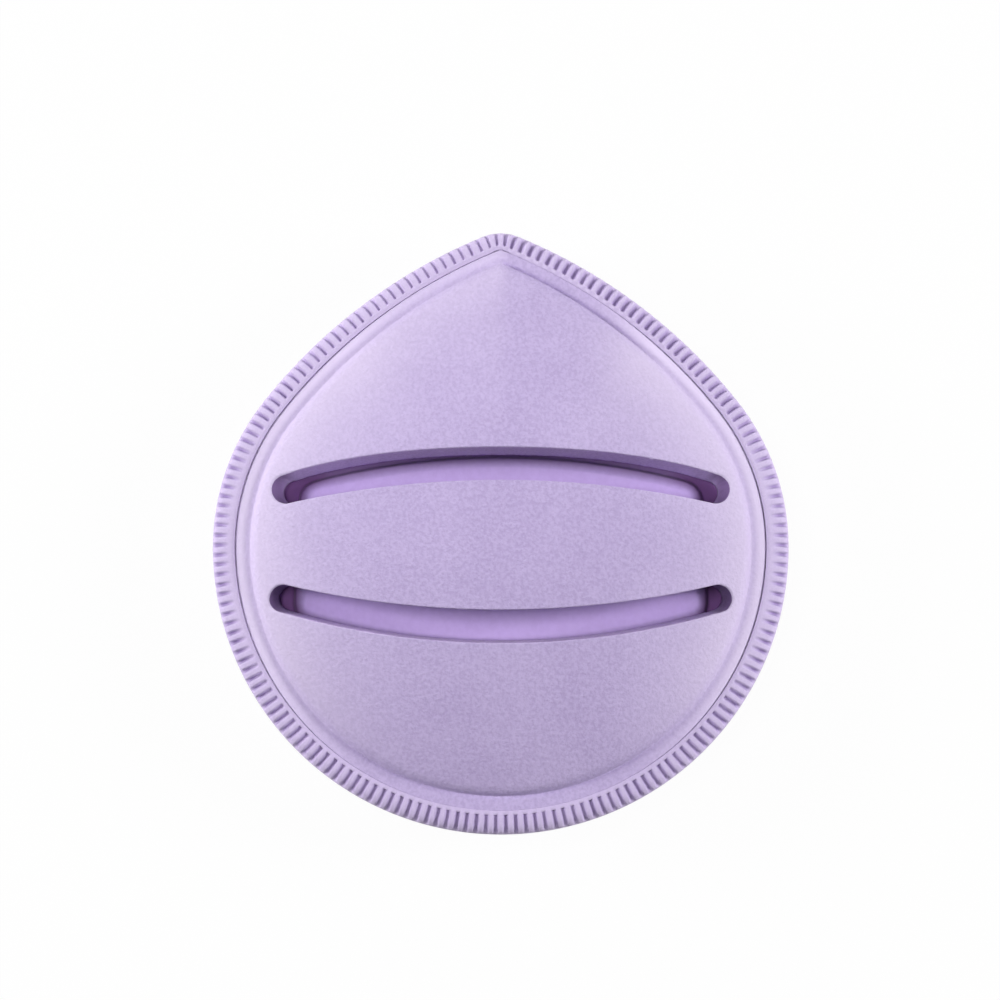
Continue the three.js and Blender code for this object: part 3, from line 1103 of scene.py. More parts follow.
@dataclass
class GripCover:
    """The moulded foam dome with its flange, edge tongue, two slits and the strap between them.

    Attributes:
        stack: Levels of the layers.
        outline: The plan.
        tongue: The edge that the rim holds.
        thickness: Foam thickness.
        shoulder_step, shoulder_round: Step up from tongue to flange, and its upper rounding.
        flange_insets: Insets of the rings on the flange.
        seam: Where the flange is fused to the rim; its sideways unit is millimetres.
        fillet, side, side_slope, crown_slope: Radii and slopes of the dome.
        foot_insets, foot_steps: Insets and steps of the close rings at the dome's foot.
        foot_clearance: How far those rings keep from the slits.
        crease, edge_light: The crease at the foot, and the painted highlight that makes the foam
            paler towards its edge.
        slits: The two slits, upper and lower.
        slit_offsets, wall_rows: Offsets of the close loops round each slit, and rows down its wall.
        edge_round, end_round: Rounding of the slit edges along the slits and round their ends.
        round_span, lean_span, dark_span: Shares of a slit at which its end's rounding, lean and
        painted shade come in.
        lean_reach, dark_reach: Distances from the slit over which the lean and the painted shade
            reach.
        lattice: Spacing of the points between rings and loops.
        margin: Room beyond the belly radius that a grid of plan points needs for the tip.
        blur_step, slight_blur, strong_blur: Grid and sizes of the blurs that soften the ridge.
        slight_span, strong_span: Insets over which the two blurs come in.
    """

    stack: Stack
    outline: DropOutline
    tongue: Tongue = Tongue()
    thickness: float = 3.8
    shoulder_step: float = 0.7
    shoulder_round: float = 0.26
    flange_insets: tuple[float, ...] = (4.75, 4.4, 4.0, 3.75)
    seam: FusedSeam = FusedSeam(tip=(0.75, 0.92), across=(-2.0, 2.0), left=0.7, more=0.3)
    fillet: float = 0.25
    side: float = 2.4
    side_slope: float = 70.0
    crown_slope: float = 25.5
    foot_insets: tuple[float, ...] = (5.1, 5.2, 5.32, 5.46, 5.62, 5.8, 6.05, 6.35, 6.7, 7.1)
    foot_steps: Steps = (80, 26, 46, 16)
    foot_clearance: float = 1.0
    crease: Crease = Crease()
    edge_light: PaintedEdgeLight = PaintedEdgeLight()
    slits: tuple[Slit, ...] = (
        Slit(
            middle=10.685, arc_radius=149.7, half_span=29.8, half_width=2.325, end_radius=2.05,
            bend=1, bulge=0.27, wall_lean=0.14, end_lean=0.35,
        ),
        Slit(
            middle=-11.865, arc_radius=108.1, half_span=30.2, half_width=2.275, end_radius=1.9,
            bend=-1,
        ),
    )
    slit_offsets: tuple[float, ...] = (0.0, 0.03, 0.07, 0.13, 0.21, 0.34, 0.6, 0.9)
    wall_rows: int = 8
    edge_round: float = 0.15
    end_round: float = 0.28
    round_span: Span = (0.86, 1.04)
    lean_span: Span = (0.9, 1.04)
    dark_span: Span = (0.93, 1.03)
    lean_reach: Span = (1.5, 0.3)
    dark_reach: float = 2.0
    lattice: float = 0.85
    margin: float = 6.0
    blur_step: float = 0.4
    slight_blur: float = 0.8
    strong_blur: float = 2.6
    slight_span: Span = (6.5, 9.0)
    strong_span: Span = (9.0, 15.0)

    @cached_property
    def dome(self) -> Dome:
        """The dome of the grip side."""
        foot = self.foot_insets[0]
        return Dome(
            self.stack.belly, foot, self.fillet, self.side, self.side_slope, self.crown_slope
        )

    @cached_property
    def flange_z(self) -> float:
        """Upper face of the flange."""
        return self.stack.grip_tongue + self.tongue.thickness + self.shoulder_step

    @cached_property
    def inset_map(self) -> InsetMap:
        """Inset of any plan point."""
        return InsetMap(self.outline)

    def make(self) -> bpy.types.Object:
        """Builds and dresses the cover.

        Returns:
            The object.
        """
        plan, insets, loops, triangles = self._plan()
        upper, lower = self._skins(plan, insets)
        count = len(plan)
        faces: list[Sequence[int]] = [*triangles]
        faces += [(a + count, c + count, b + count) for a, b, c in triangles]
        walls, wall_faces = self._walls(upper, lower, loops[:-1])
        flange, flange_faces = self._flange(loops[-1], count, 2 * count + len(walls))
        vertices = np.vstack((upper, lower, walls, flange))
        places = vertices[:, :2].copy()
        tints = {
            # Painted highlight towards the foam's edge, carried to the finishes as a tint
            # attribute.
            "painted_edge_light": self.edge_light.at(places, self.inset_map(places), self.foot_insets[0]),
            # Painted shade at the slit ends, carried to the cut foam as a tint attribute.
            "painted_end_shade": self._painted_end_shade(places),
        }
        vertices[:, 1] += self.stack.centre_y
        piece = add_mesh("grip_cover_foam", vertices, [*faces, *flange_faces, *wall_faces], tints)
        dress(piece, Finish.GRIP_FOAM, Finish.FLANGE_FOAM, Finish.CUT_FOAM)
        indices = [0] * len(faces) + [1] * len(flange_faces) + [2] * len(wall_faces)
        piece.data.polygons.foreach_set("material_index", indices)
        return piece

    def _plan(
        self,
    ) -> tuple[np.ndarray, np.ndarray, list[np.ndarray], list[tuple[int, int, int]]]:
        """Triangulates the dome's plan.

        Returns:
            The points, their insets, the edge loops of the slits and then of the foot, as point
            indices, and the triangles.
        """
        points, given, loops, rings = self._plan_points()
        edges: list[tuple[int, int]] = []
        for loop in [*loops, *rings]:
            edges += zip(loop.tolist(), np.roll(loop, -1).tolist())
        tolerance = 1e-7
        found = delaunay_2d_cdt([Vector(p) for p in points.tolist()], edges, [], 0, tolerance)
        new_points, _, triangles, origins = found[:4]
        index = np.empty(len(points), dtype=int)
        for new, olds in enumerate(origins):
            index[olds] = new
        plan = np.array([tuple(p) for p in new_points])
        loops = [index[loop] for loop in loops]
        corners = np.array(triangles)
        on_edge = np.zeros(len(plan), dtype=int)
        for k, loop in enumerate(loops[:-1]):
            on_edge[loop] = k + 1
        marks = on_edge[corners]
        in_slit = (marks[:, 0] > 0) & (marks == marks[:, :1]).all(axis=1)
        centroids = plan[corners].mean(axis=1)
        keep = ~in_slit & (self.inset_map(centroids) > self.foot_insets[0] - SLACK)
        insets = self.inset_map(plan)
        known = ~np.isnan(given)
        insets[index[known]] = given[known]
        return plan, insets, loops, [tuple(t) for t in corners[keep].tolist()]

    def _plan_points(
        self,
    ) -> tuple[np.ndarray, np.ndarray, list[np.ndarray], list[np.ndarray]]:
        """Places the points that the dome's plan is triangulated from.

        Returns:
            The points, their insets where a ring gives them and NaN elsewhere, the edge loops of
            the slits and then of the foot, and the other rings that no slit breaks.
        """
        groups = [slit.loop(offset) for slit in self.slits for offset in self.slit_offsets]
        size = len(groups[0])
        starts = [k * len(self.slit_offsets) * size for k in range(len(self.slits))]
        loops = [start + np.arange(size) for start in starts]
        placed = len(groups) * size
        given, rings = [np.full(placed, np.nan)], []
        for inset in self.foot_insets[1:]:
            ring = self.outline.ring(inset, self.foot_steps)
            kept = ring[self._clear(ring, self.foot_clearance)]
            if len(kept) == len(ring):
                rings.append(placed + np.arange(len(ring)))
            groups.append(kept)
            given.append(np.full(len(kept), inset))
            placed += len(kept)
        foot = self.outline.ring(self.foot_insets[0], self.foot_steps)
        loops.append(placed + np.arange(len(foot)))
        grid = self._grid()
        given += [np.full(len(foot), self.foot_insets[0]), np.full(len(grid), np.nan)]
        return np.vstack([*groups, foot, grid]), np.concatenate(given), loops, rings

    def _grid(self) -> np.ndarray:
        """A triangular lattice of plan points, clear of the close rings and loops."""
        step, belly = self.lattice, self.stack.belly
        rows = np.arange(-belly, belly + self.margin, step * math.sqrt(3) / 2)
        columns = np.arange(-belly, belly, step)
        grid = np.array([(x + step / 2 * (k % 2), y) for k, y in enumerate(rows) for x in columns])
        inside = self.inset_map(grid) > self.foot_insets[-1] + step / 2
        return grid[inside & self._clear(grid, self.slit_offsets[-1] + step / 2)]

    def _clear(self, points: np.ndarray, distance: float) -> np.ndarray:
        """Which plan points are farther than a distance from every slit."""
        return np.all([slit.distances(points) > distance for slit in self.slits], axis=0)

    def _skins(self, plan: np.ndarray, insets: np.ndarray) -> tuple[np.ndarray, np.ndarray]:
        """The upper and the lower side of the dome.

        Args:
            plan: Plan points.
            insets: Their insets.

        Returns:
            The vertices of both sides, in the order of the plan points.
        """
        creases = self.crease.depths(plan, insets - self.foot_insets[0])
        heights = self.flange_z + self._soft_heights(plan, insets) - creases
        sphere = np.array([0.0, 0.0, self.flange_z + self.dome.rise - self.dome.crown_radius])
        top = np.column_stack((plan, heights))
        normals = top - sphere
        normals /= np.linalg.norm(normals, axis=1, keepdims=True)
        depth = np.minimum(self.thickness, (heights - self.stack.grip_tongue) / normals[:, 2])
        upper = top - normals * self._edge_rounding(plan)[:, None]
        lower = top - normals * depth[:, None]
        lower[:, :2] -= self._lean(plan)
        return upper, lower

    def _soft_heights(self, plan: np.ndarray, insets: np.ndarray) -> np.ndarray:
        """Heights of the dome above its flange, with the ridge below the tip softened.

        Args:
            plan: Plan points.
            insets: Their insets.

        Returns:
            The heights.
        """
        step, reach = self.blur_step, self.stack.belly + self.margin
        axis = np.arange(-reach, reach, step)
        grid = np.stack(np.meshgrid(axis, axis, indexing="xy"), axis=-1).reshape(-1, 2)
        field = self.dome.heights(self.inset_map(grid)).reshape(len(axis), len(axis))
        slight, strong = (
            self._sample(self._blur(field, size / step), axis, plan)
            for size in (self.slight_blur, self.strong_blur)
        )
        near = smooth(*self.slight_span, insets)
        deep = smooth(*self.strong_span, insets)
        return self.dome.heights(insets) * (1 - near) + near * (slight * (1 - deep) + strong * deep)

    @staticmethod
    def _blur(field: np.ndarray, size: float) -> np.ndarray:
        """Blurs a height field by a bell curve whose width is given in grid steps."""
        reach = np.arange(-math.ceil(3 * size), math.ceil(3 * size) + 1)
        bell = np.exp(-0.5 * (reach / size) ** 2)
        bell /= bell.sum()
        for axis in (0, 1):
            field = np.apply_along_axis(np.convolve, axis, field, bell, mode="same")
        return field

    @staticmethod
    def _sample(field: np.ndarray, axis: np.ndarray, plan: np.ndarray) -> np.ndarray:
        """Reads a height field at plan points."""
        place = (plan - axis[0]) / (axis[1] - axis[0])
        low = place.astype(int)
        x, y = (place - low).T
        i, j = low.T
        left = field[j, i] * (1 - y) + field[j + 1, i] * y
        right = field[j, i + 1] * (1 - y) + field[j + 1, i + 1] * y
        return left * (1 - x) + right * x

    def _edge_rounding(self, plan: np.ndarray) -> np.ndarray:
        """How far the foam is rounded off at the slit edges."""
        rounding = np.zeros(len(plan))
        for slit in self.slits:
            at_end = smooth(*self.round_span, np.abs(slit.shares(plan)))
            radius = self.edge_round + (self.end_round - self.edge_round) * at_end
            reach = np.clip(radius - slit.distances(plan), 0.0, radius)
            rounding = np.maximum(rounding, radius - np.sqrt(radius**2 - reach**2))
        return rounding

    def _lean(self, plan: np.ndarray) -> np.ndarray:
        """How far the foam's underside reaches in under the slits' outer sides and round ends."""
        lean = np.zeros((len(plan), 2))
        for slit in self.slits:
            share = slit.shares(plan)
            near = smooth(*self.lean_reach, slit.distances(plan))
            at_end = smooth(*self.lean_span, np.abs(share))
            lean[:, 0] += slit.end_lean * np.sign(share) * at_end * near
            lean[:, 1] += slit.wall_lean * slit.bend * slit.is_outer(plan) * (1 - at_end) * near
        return lean

    def _painted_end_shade(self, plan: np.ndarray) -> np.ndarray:
        """Painted shade: how much darker the cut foam is painted at the round ends of the slits."""
        ends = [smooth(*self.dark_span, np.abs(slit.shares(plan))) for slit in self.slits]
        here = [slit.distances(plan) < self.dark_reach for slit in self.slits]
        return np.max([end * near for end, near in zip(ends, here)], axis=0)

    def _walls(
        self, upper: np.ndarray, lower: np.ndarray, loops: Sequence[np.ndarray]
    ) -> tuple[np.ndarray, list[list[int]]]:
        """The walls of the slits.

        Args:
            upper: Vertices of the dome's upper side.
            lower: Vertices of its lower side.
            loops: Indices of each slit's edge on the upper side.

        Returns:
            The new vertices, which follow those of both sides, and the faces.
        """
        count = len(upper)
        shares = np.linspace(0.0, 1.0, self.wall_rows + 1)[1:-1]
        rows, faces, first = [], [], 2 * count
        for loop in loops:
            start, end = upper[loop], lower[loop]
            rows += [start + (end - start) * share for share in shares]
            levels = [loop]
            for _ in shares:
                levels.append(first + np.arange(len(loop)))
                first += len(loop)
            levels.append(loop + count)
            for above, below in zip(levels, levels[1:]):
                faces += band(above, below)
        return np.vstack(rows), faces

    def _flange(
        self, foot: np.ndarray, count: int, first: int
    ) -> tuple[np.ndarray, list[list[int]]]:
        """The flange, its shoulder and the tongue.

        Args:
            foot: Indices of the foot's loop on the upper side.
            count: Points on the upper side, so the lower side's index is that much more.
            first: Index of the first new vertex.

        Returns:
            The new vertices and their faces.
        """
        top, low = self.flange_z, self.stack.grip_tongue
        corners = [
            *((inset, top, 0.0) for inset in (self.foot_insets[0], *self.flange_insets)),
            (self.tongue.shoulder, top, self.shoulder_round),
            *self.tongue.corners(low, 1),
            (self.foot_insets[0], low, 0.0),
        ]
        rings = []
        for inset, z in rounded(corners, 4)[1:]:
            ring = self.outline.ring(inset, self.foot_steps)
            heights = np.full(len(ring), z)
            if z > top - self.shoulder_round - SLACK:
                heights += (top - z) * self.seam.at(tipward(ring), ring[:, 0])
            rings.append(np.column_stack((ring, heights)))
        size = len(foot)
        between = [first + k * size + np.arange(size) for k in range(len(rings))]
        rows = [foot, *between, foot + count]
        faces = []
        for inner, outer in zip(rows, rows[1:]):
            faces += band(inner, outer)
        return np.vstack(rings), faces


# Lathed soft pieces


@dataclass
class SoftLayers:
    """The layers under the grip cover: liner, core pad and face cover.

    Attributes:
        stack: Levels of the layers.
        outline: The plan.
        tongue: The face cover's edge that the rim holds.
        liner, gap: Thickness of the liner, and its clearance over the core pad.
        hem: Inset of the liner's edge.
        cushion_inset: Inset of the cushion's edge.
        cushion_droop: How much lower the cushion is there than in the middle.
        cushion_roll, cushion_lip: Rounding of that edge, and how far outside it its corner lies.
        moat_depth, moat_inset, moat_round: Depth, outer inset and floor rounding of the hollow
            round the cushion.
        land_round, land_width: Rounding and width of the land outside that hollow.
        wall_lean: How far each wall of the hollow leans.
        skin, skin_gap: Thickness of the face cover, and the core pad's clearance inside it.
        face_foot, face_fillet, face_side, face_side_slope, face_crown_slope: Inset of the foot,
            radii and slopes of the application side.
        rest_depth: How deep the application side is pressed flat where it rests.
        flange_inset, flange_round: Inner edge of the face cover's flange, and its rounding.
        dark_span, dark_floor: How far below the cushion's edge the painted shade on the liner comes
            in, and
        how much of it there is in the middle.
        hollow_span: Distances from the middle plane over which the rest of that comes in.
    """

    stack: Stack
    outline: DropOutline
    tongue: Tongue = Tongue()
    liner: float = 0.5
    gap: float = 0.1
    hem: float = 6.3
    cushion_inset: float = 12.6
    cushion_droop: float = 0.8
    cushion_roll: float = 1.0
    cushion_lip: float = 0.2
    moat_depth: float = 1.3
    moat_inset: float = 7.6
    moat_round: float = 0.5
    land_round: float = 0.3
    land_width: float = 0.6
    wall_lean: float = 0.3
    skin: float = 1.5
    skin_gap: float = 0.25
    face_foot: float = 4.4
    face_fillet: float = 0.6
    face_side: float = 7.0
    face_side_slope: float = 70.0
    face_crown_slope: float = 15.0
    rest_depth: float = 0.5
    flange_inset: float = 5.2
    flange_round: float = 0.14
    dark_span: Span = (0.15, 1.2)
    dark_floor: float = 0.62
    hollow_span: Span = (22.0, 27.0)

    @cached_property
    def lathe(self) -> Lathe:
        """The lathe that all three are turned on."""
        return Lathe(self.outline, self.stack.centre_y, self.cushion_inset)

    @cached_property
    def face(self) -> Dome:
        """The dome of the application side."""
        return Dome(
            self.stack.belly,
            self.face_foot,
            self.face_fillet,
            self.face_side,
            self.face_side_slope,
            self.face_crown_slope,
        )

    @cached_property
    def face_flange(self) -> float:
        """Underside of the face cover's flange."""
        return self.face.rise - self.rest_depth

    @cached_property
    def core_land(self) -> float:
        """Height of the core pad outside the hollow."""
        return self.stack.liner_low + self.moat_depth - self.gap

    def _cushion(self, lift: float) -> Profile:
        """Upper surface of the cushion and its hollow, lifted off the core on every wall."""
        crown = self.stack.core_top + lift
        edge = crown - self.cushion_droop
        wall = self.cushion_inset - self.cushion_roll - lift
        land = self.core_land + lift
        floor = land - self.moat_depth
        outer = self.moat_inset + lift
        belly, droop, rows = self.stack.belly, self.cushion_droop, 8
        reach = belly - self.cushion_inset
        shares = [(k, k / rows) for k in range(rows)]
        corners = [
            *((belly - reach * k / rows, crown - droop * share**2, 0.0) for k, share in shares),
            (self.cushion_inset - self.cushion_lip, edge, self.cushion_roll),
            (wall, edge - self.cushion_roll, self.cushion_roll),
            (wall - self.wall_lean, floor, self.moat_round),
            (outer + self.wall_lean, floor, self.moat_round),
            (outer, land, self.land_round),
            (outer - self.land_width, land, 0.0),
        ]
        return rounded(corners, 6)

    def _inside(self, thickness: float, top: float) -> Profile:
        """Inside of the face cover, moved in by a thickness, from the centre up to a level."""
        face = self.face
        crown = np.linspace(self.stack.belly, face.crown_start, 14)
        insets = np.append(crown, np.linspace(face.crown_start, face.fillet_end, 16)[1:])
        heights = face.heights(insets)
        slopes = np.arctan2(np.gradient(heights, -insets), 1.0)
        slopes[0] = 0.0
        z = self.face_flange - heights + thickness * np.cos(slopes)
        moved = insets + thickness * np.sin(-slopes)
        rows = [(float(i), float(h)) for i, h in zip(moved, z) if h < top - 2 * SLACK]
        reach = (top - rows[-1][1]) / math.tan(math.radians(face.side_slope))
        return [*rows, (rows[-1][0] - reach, top)]

    def make_liner(self) -> bpy.types.Object:
        """The smooth sheet over the cushion, the floor of the finger pocket."""
        top, under = self._cushion(self.gap + self.liner), self._cushion(self.gap)
        edge = [(self.hem, top[-1][1]), (self.hem, under[-1][1])]
        profile = [*top, *edge, *under[::-1]]
        piece = self.lathe.make("pocket_liner_sheet", profile, bedded=len(profile))
        self._paint_hollow_shade(piece.data)
        return dress(piece, Finish.LINER_SHEET)

    def _paint_hollow_shade(self, mesh: bpy.types.Mesh) -> None:
        """Paints shade on the liner down in the hollow, darkest beyond the slit ends."""
        points = np.empty(len(mesh.vertices) * 3)
        mesh.vertices.foreach_get("co", points)
        x, z = np.abs(points[0::3]) / MM, points[2::3] / MM
        edge = self.stack.liner_top - self.cushion_droop
        start, end = self.dark_span
        at_ends = self.dark_floor + (1 - self.dark_floor) * smooth(*self.hollow_span, x)
        # The depth attribute is painted shade: darker the lower the liner lies in the hollow.
        add_attribute(mesh, "depth", smooth(edge - start, edge - end, z) * at_ends)

    def make_core(self) -> bpy.types.Object:
        """The foam that fills the bowl and rises as a cushion."""
        upper = self._cushion(0.0)
        lower = self._inside(self.skin + self.skin_gap, self.core_land)[::-1]
        piece = self.lathe.make("core_pad_foam", [*upper, *lower], bedded=len(upper))
        return dress(piece, Finish.CORE_FOAM)

    def make_face(self) -> bpy.types.Object:
        """The velour skin of the application side, with its edge tongue."""
        face, land = self.face, self.stack.face_land
        insets = np.concatenate(
            (
                np.linspace(face.foot, face.fillet_end, 6),
                np.linspace(face.fillet_end, face.crown_start, 16)[1:],
                np.linspace(face.crown_start, self.stack.belly, 22)[1:],
            )
        )
        heights = np.maximum(self.face_flange - face.heights(insets), 0.0)
        corners = [
            (self.flange_inset, land, 0.0),
            *reversed(self.tongue.corners(land, -1)),
            (self.tongue.shoulder, self.face_flange, self.flange_round),
            (face.foot, self.face_flange, 0.0),
        ]
        outer = [(float(i), float(z)) for i, z in zip(insets, heights)][1:]
        profile = [*self._inside(self.skin, land), *rounded(corners, 4)[1:], *outer]
        return dress(self.lathe.make("face_cover_velour", profile), Finish.VELOUR_SKIN)


# Ribbed rim


@dataclass
class RibbedRim:
    """The ribbed edge binding: a channel section whose ribs a node tree presses in.

    Attributes:
        stack: Levels of the layers.
        outline: The plan.
        rib_count: Ribs round the whole edge.
        rib_steps: Stations for each rib.
        outer_reach: Inset where the round outer half ends.
        fullness: Power of that half's curve; 1 is an ellipse and less is squarer.
        flat_end, bead, bead_round: Insets where the flat under the ribs ends and the bead
            begins, and the bead's rounding.
        width, seam_drop, seam_round: Width, drop and rounding of the upper edge at the open seam.
        fused_width, fused_drop, fused_round: The same where the seam is fused shut.
        seam: Where it is fused; its sideways unit is the share to the right.
        channel: Depth of the channel from the outer edge.
        lip: Thickness of the two lips.
        groove_depth, groove_width: Size of the grooves between the ribs.
        groove_floor: Half width of a groove's flat floor, as a share of its width.
        groove_end, bottom_end: Inset where they end, and how much farther in at the bottom.
        top_span: Heights above the rim's middle over which the grooves come in.
        side_strength: Depth of the grooves at the outer edge of the two sides, as a share.
        side_span, side_fade: Directions that count as a side, and the insets over which the
            grooves come in there.
        tip_span, right_span: Directions that count as the tip and as its right.
        bottom_loss, tip_loss, right_gain: Depth lost at the bottom and at the tip, and regained
            on its right.
        bottom_wider, tip_narrower, right_wider: Changes of a groove's width there.
        unevenness: How much the grooves differ in depth, and a third of that in place.
        bottom_shade: Share of the grooves' painted shade that the whole rim gets at the bottom,
            which is painted darker.
    """

    stack: Stack
    outline: DropOutline
    rib_count: int = 178
    rib_steps: int = 12
    outer_reach: float = 1.9
    fullness: float = 0.78
    flat_end: float = 2.45
    bead: float = 2.6
    bead_round: float = 0.2
    width: float = 3.11
    seam_drop: float = 0.1
    seam_round: float = 0.4
    fused_width: float = 3.23
    fused_drop: float = 0.27
    fused_round: float = 0.05
    seam: FusedSeam = FusedSeam(tip=(0.6, 0.9), across=(-0.3, 0.3), left=0.6, more=0.4)
    channel: float = 1.4
    lip: float = 0.75
    groove_depth: float = 0.6
    groove_width: float = 0.8
    groove_floor: float = 0.08
    groove_end: float = 2.2
    bottom_end: float = 0.45
    top_span: Span = (0.25, 1.25)
    side_strength: float = 1.22
    side_span: Span = (0.75, 0.2)
    side_fade: Span = (2.5, 0.6)
    tip_span: Span = (0.5, 0.85)
    right_span: Span = (-0.3, 0.3)
    bottom_loss: float = 0.2
    tip_loss: float = 0.28
    right_gain: float = 0.2
    bottom_wider: float = 0.15
    tip_narrower: float = 0.2
    right_wider: float = 0.5
    unevenness: float = 0.1
    bottom_shade: float = 0.12

    def _outer(self) -> Profile:
        """The round outer half of the section, from below up, and the flat that the ribs end on."""
        half = self.stack.rim_half
        turns = [*np.linspace(-math.pi / 2, 0.0, 6), *np.linspace(0.0, math.pi / 2, 12)[1:]]
        outer = [
            (
                self.outer_reach * (1 - max(math.cos(t), 0.0) ** self.fullness),
                half * math.copysign(abs(math.sin(t)) ** self.fullness, t),
            )
            for t in turns
        ]
        flat = np.linspace(self.outer_reach, self.flat_end, 5)[1:]
        return [*outer, *((inset, half) for inset in flat)]

    def _inner(self, width: float, drop: float, edge_round: float) -> Profile:
        """The bead and one half of the channel.

        Args:
            width: Inset of the lip's end.
            drop: How far the lip's upper edge lies below the bead.
            edge_round: Rounding of that edge.

        Returns:
            The points, from the flat to the channel's middle.
        """
        half = self.stack.rim_half
        inner = half - self.lip
        corners = [
            (self.flat_end, half, 0.0),
            (self.bead, half, self.bead_round),
            (width, half - drop, edge_round),
            (width, inner, 0.0),
            (self.channel, inner, 0.0),
            (self.channel, 0.0, 0.0),
        ]
        return rounded(corners, 4)[1:]

    def _section(self) -> tuple[np.ndarray, np.ndarray, np.ndarray]:
        """The closed section.

        Returns:
            Its points as inset and height above the rim's middle, where the seam is open and
            where it is fused, and how strongly each point is grooved.
        """
        outer = self._outer()
        uppers = [
            self._inner(self.width, self.seam_drop, self.seam_round),
            self._inner(self.fused_width, self.fused_drop, self.fused_round),
        ]
        under = [(inset, -z) for inset, z in uppers[0]][-2::-1]
        open_rows, fused_rows = (np.array([*outer, *upper, *under]) for upper in uppers)
        strength = smooth(*self.top_span, open_rows[:, 1])
        strength[len(outer) + 4 :] = 0.0
        return open_rows, fused_rows, strength

    def make(self) -> bpy.types.Object:
        """Builds and dresses the rim.

        Returns:
            The object.
        """
        rows, fused_rows, strength = self._section()
        count = self.rib_count * self.rib_steps
        points, angles, length = self.outline.stations(count)
        vertices, ways = self._sweep(rows, fused_rows, points, angles)
        faces: list[Sequence[int]] = []
        for k in range(len(rows)):
            faces += bridge(k * count, (k + 1) % len(rows) * count, count)
        attributes = self._groove_plan(rows, strength, np.cos(angles), np.sin(angles))
        piece = add_mesh("ribbed_rim_binding", vertices, faces, attributes)
        add_attribute(piece.data, "way", ways)
        return self._press_ribs(piece, length / self.rib_count)

    def _sweep(
        self, rows: np.ndarray, fused_rows: np.ndarray, points: np.ndarray, angles: np.ndarray
    ) -> tuple[np.ndarray, np.ndarray]:
        """Carries the section round the outline.

        Args:
            rows: The section where the seam is open.
            fused_rows: The section where it is fused.
            points: Stations along the outer edge.
            angles: Angles of their outward normals.

        Returns:
            The vertices, one row of the section after another, and each one's way into the rim.
        """
        normal = np.column_stack((np.cos(angles), np.sin(angles)))
        cosine, sine = normal.T
        uphill = np.where(sine > 0, 1 - np.abs(cosine), 0.0)
        fused = self.seam.at(sine, cosine)
        around = np.gradient(np.vstack((rows[-1:], rows, rows[:1])), axis=0)[1:-1]
        inward = np.column_stack((-around[:, 1], around[:, 0]))
        inward /= np.linalg.norm(inward, axis=1, keepdims=True)
        vertices, ways = [], []
        for open_row, fused_row, (inset_way, z_way) in zip(rows, fused_rows, -inward):
            inset, z = open_row[:, None] + (fused_row - open_row)[:, None] * fused[None, :]
            place = points - normal * (inset - self.outline.slimming(inset) * uphill)[:, None]
            vertices.append(np.column_stack((place, self.stack.rim_middle + z)))
            ways.append(np.column_stack((-normal * inset_way, np.full(len(normal), z_way))))
        stacked = np.vstack(vertices)
        stacked[:, 1] += self.stack.centre_y
        return stacked, np.vstack(ways)

    def _groove_plan(
        self, rows: np.ndarray, strength: np.ndarray, cosine: np.ndarray, sine: np.ndarray
    ) -> dict[str, np.ndarray]:
        """Plans the grooves as attributes of the smooth rim.

        Args:
            rows: The section.
            strength: How strongly each of its points is grooved.
            cosine: How far to the right each station's normal points.
            sine: How far towards the tip it points.

        Returns:
            The attributes: each point's place in its rib, its inset, and the strength, the
            breadth and the share at the bottom.
        """
        count = len(sine)
        bottom = smooth(*self.seam.bottom, sine)
        right = smooth(*self.right_span, cosine)
        at_tip = smooth(*self.tip_span, sine)
        wider = at_tip * (self.right_wider * right - self.tip_narrower * (1 - right))
        breadth = 1 + self.bottom_wider * bottom + wider
        rng = np.random.default_rng(5)
        uneven = rng.uniform(-self.unevenness, self.unevenness, (2, self.rib_count))
        deeper, shift = np.repeat(uneven, self.rib_steps, axis=1)
        phase = np.arange(count) / self.rib_steps % 1.0 + shift / 3
        side = smooth(*self.side_span, np.abs(sine))
        faded = self.side_strength * smooth(*self.side_fade, rows[:, :1])
        strength = strength[:, None] * (1 - side * (1 - faded)) * (1 + deeper)
        loss = self.tip_loss - self.right_gain * right
        strength = strength * (1 - self.bottom_loss * bottom - at_tip * loss)
        return {
            "phase": np.tile(phase, len(rows)),
            "inset": np.repeat(rows[:, 0], count),
            "strength": strength.ravel(),
            "bottom": np.tile(bottom, len(rows)),
            "breadth": np.tile(breadth, len(rows)),
        }

    def _press_ribs(self, piece: bpy.types.Object, pitch: float) -> bpy.types.Object:
        """Presses the grooves into the smooth rim.

        Args:
            piece: The smooth rim.
            pitch: Distance from rib to rib.

        Returns:
            The ribbed rim as a plain mesh.
        """
        sizes = {
            "Pitch": pitch * MM,
            "Groove Depth": self.groove_depth * MM,
            "Groove Width": self.groove_width * MM,
            "Groove End": self.groove_end * MM,
            "Bottom End": self.bottom_end * MM,
        }
        values = {**sizes, "Material": Finish.RIM_BINDING.value.material()}
        tree = self._rib_tree(sizes)
        modifier = piece.modifiers.new("ribs", "NODES")
        modifier.node_group = tree
        for item in tree.interface.items_tree:
            if item.in_out == "INPUT" and item.name in values:
                modifier[item.identifier] = values[item.name]
        evaluated = piece.evaluated_get(bpy.context.evaluated_depsgraph_get())
        plain = bpy.data.meshes.new_from_object(evaluated)
        piece.modifiers.remove(modifier)
        piece.data = plain
        return piece

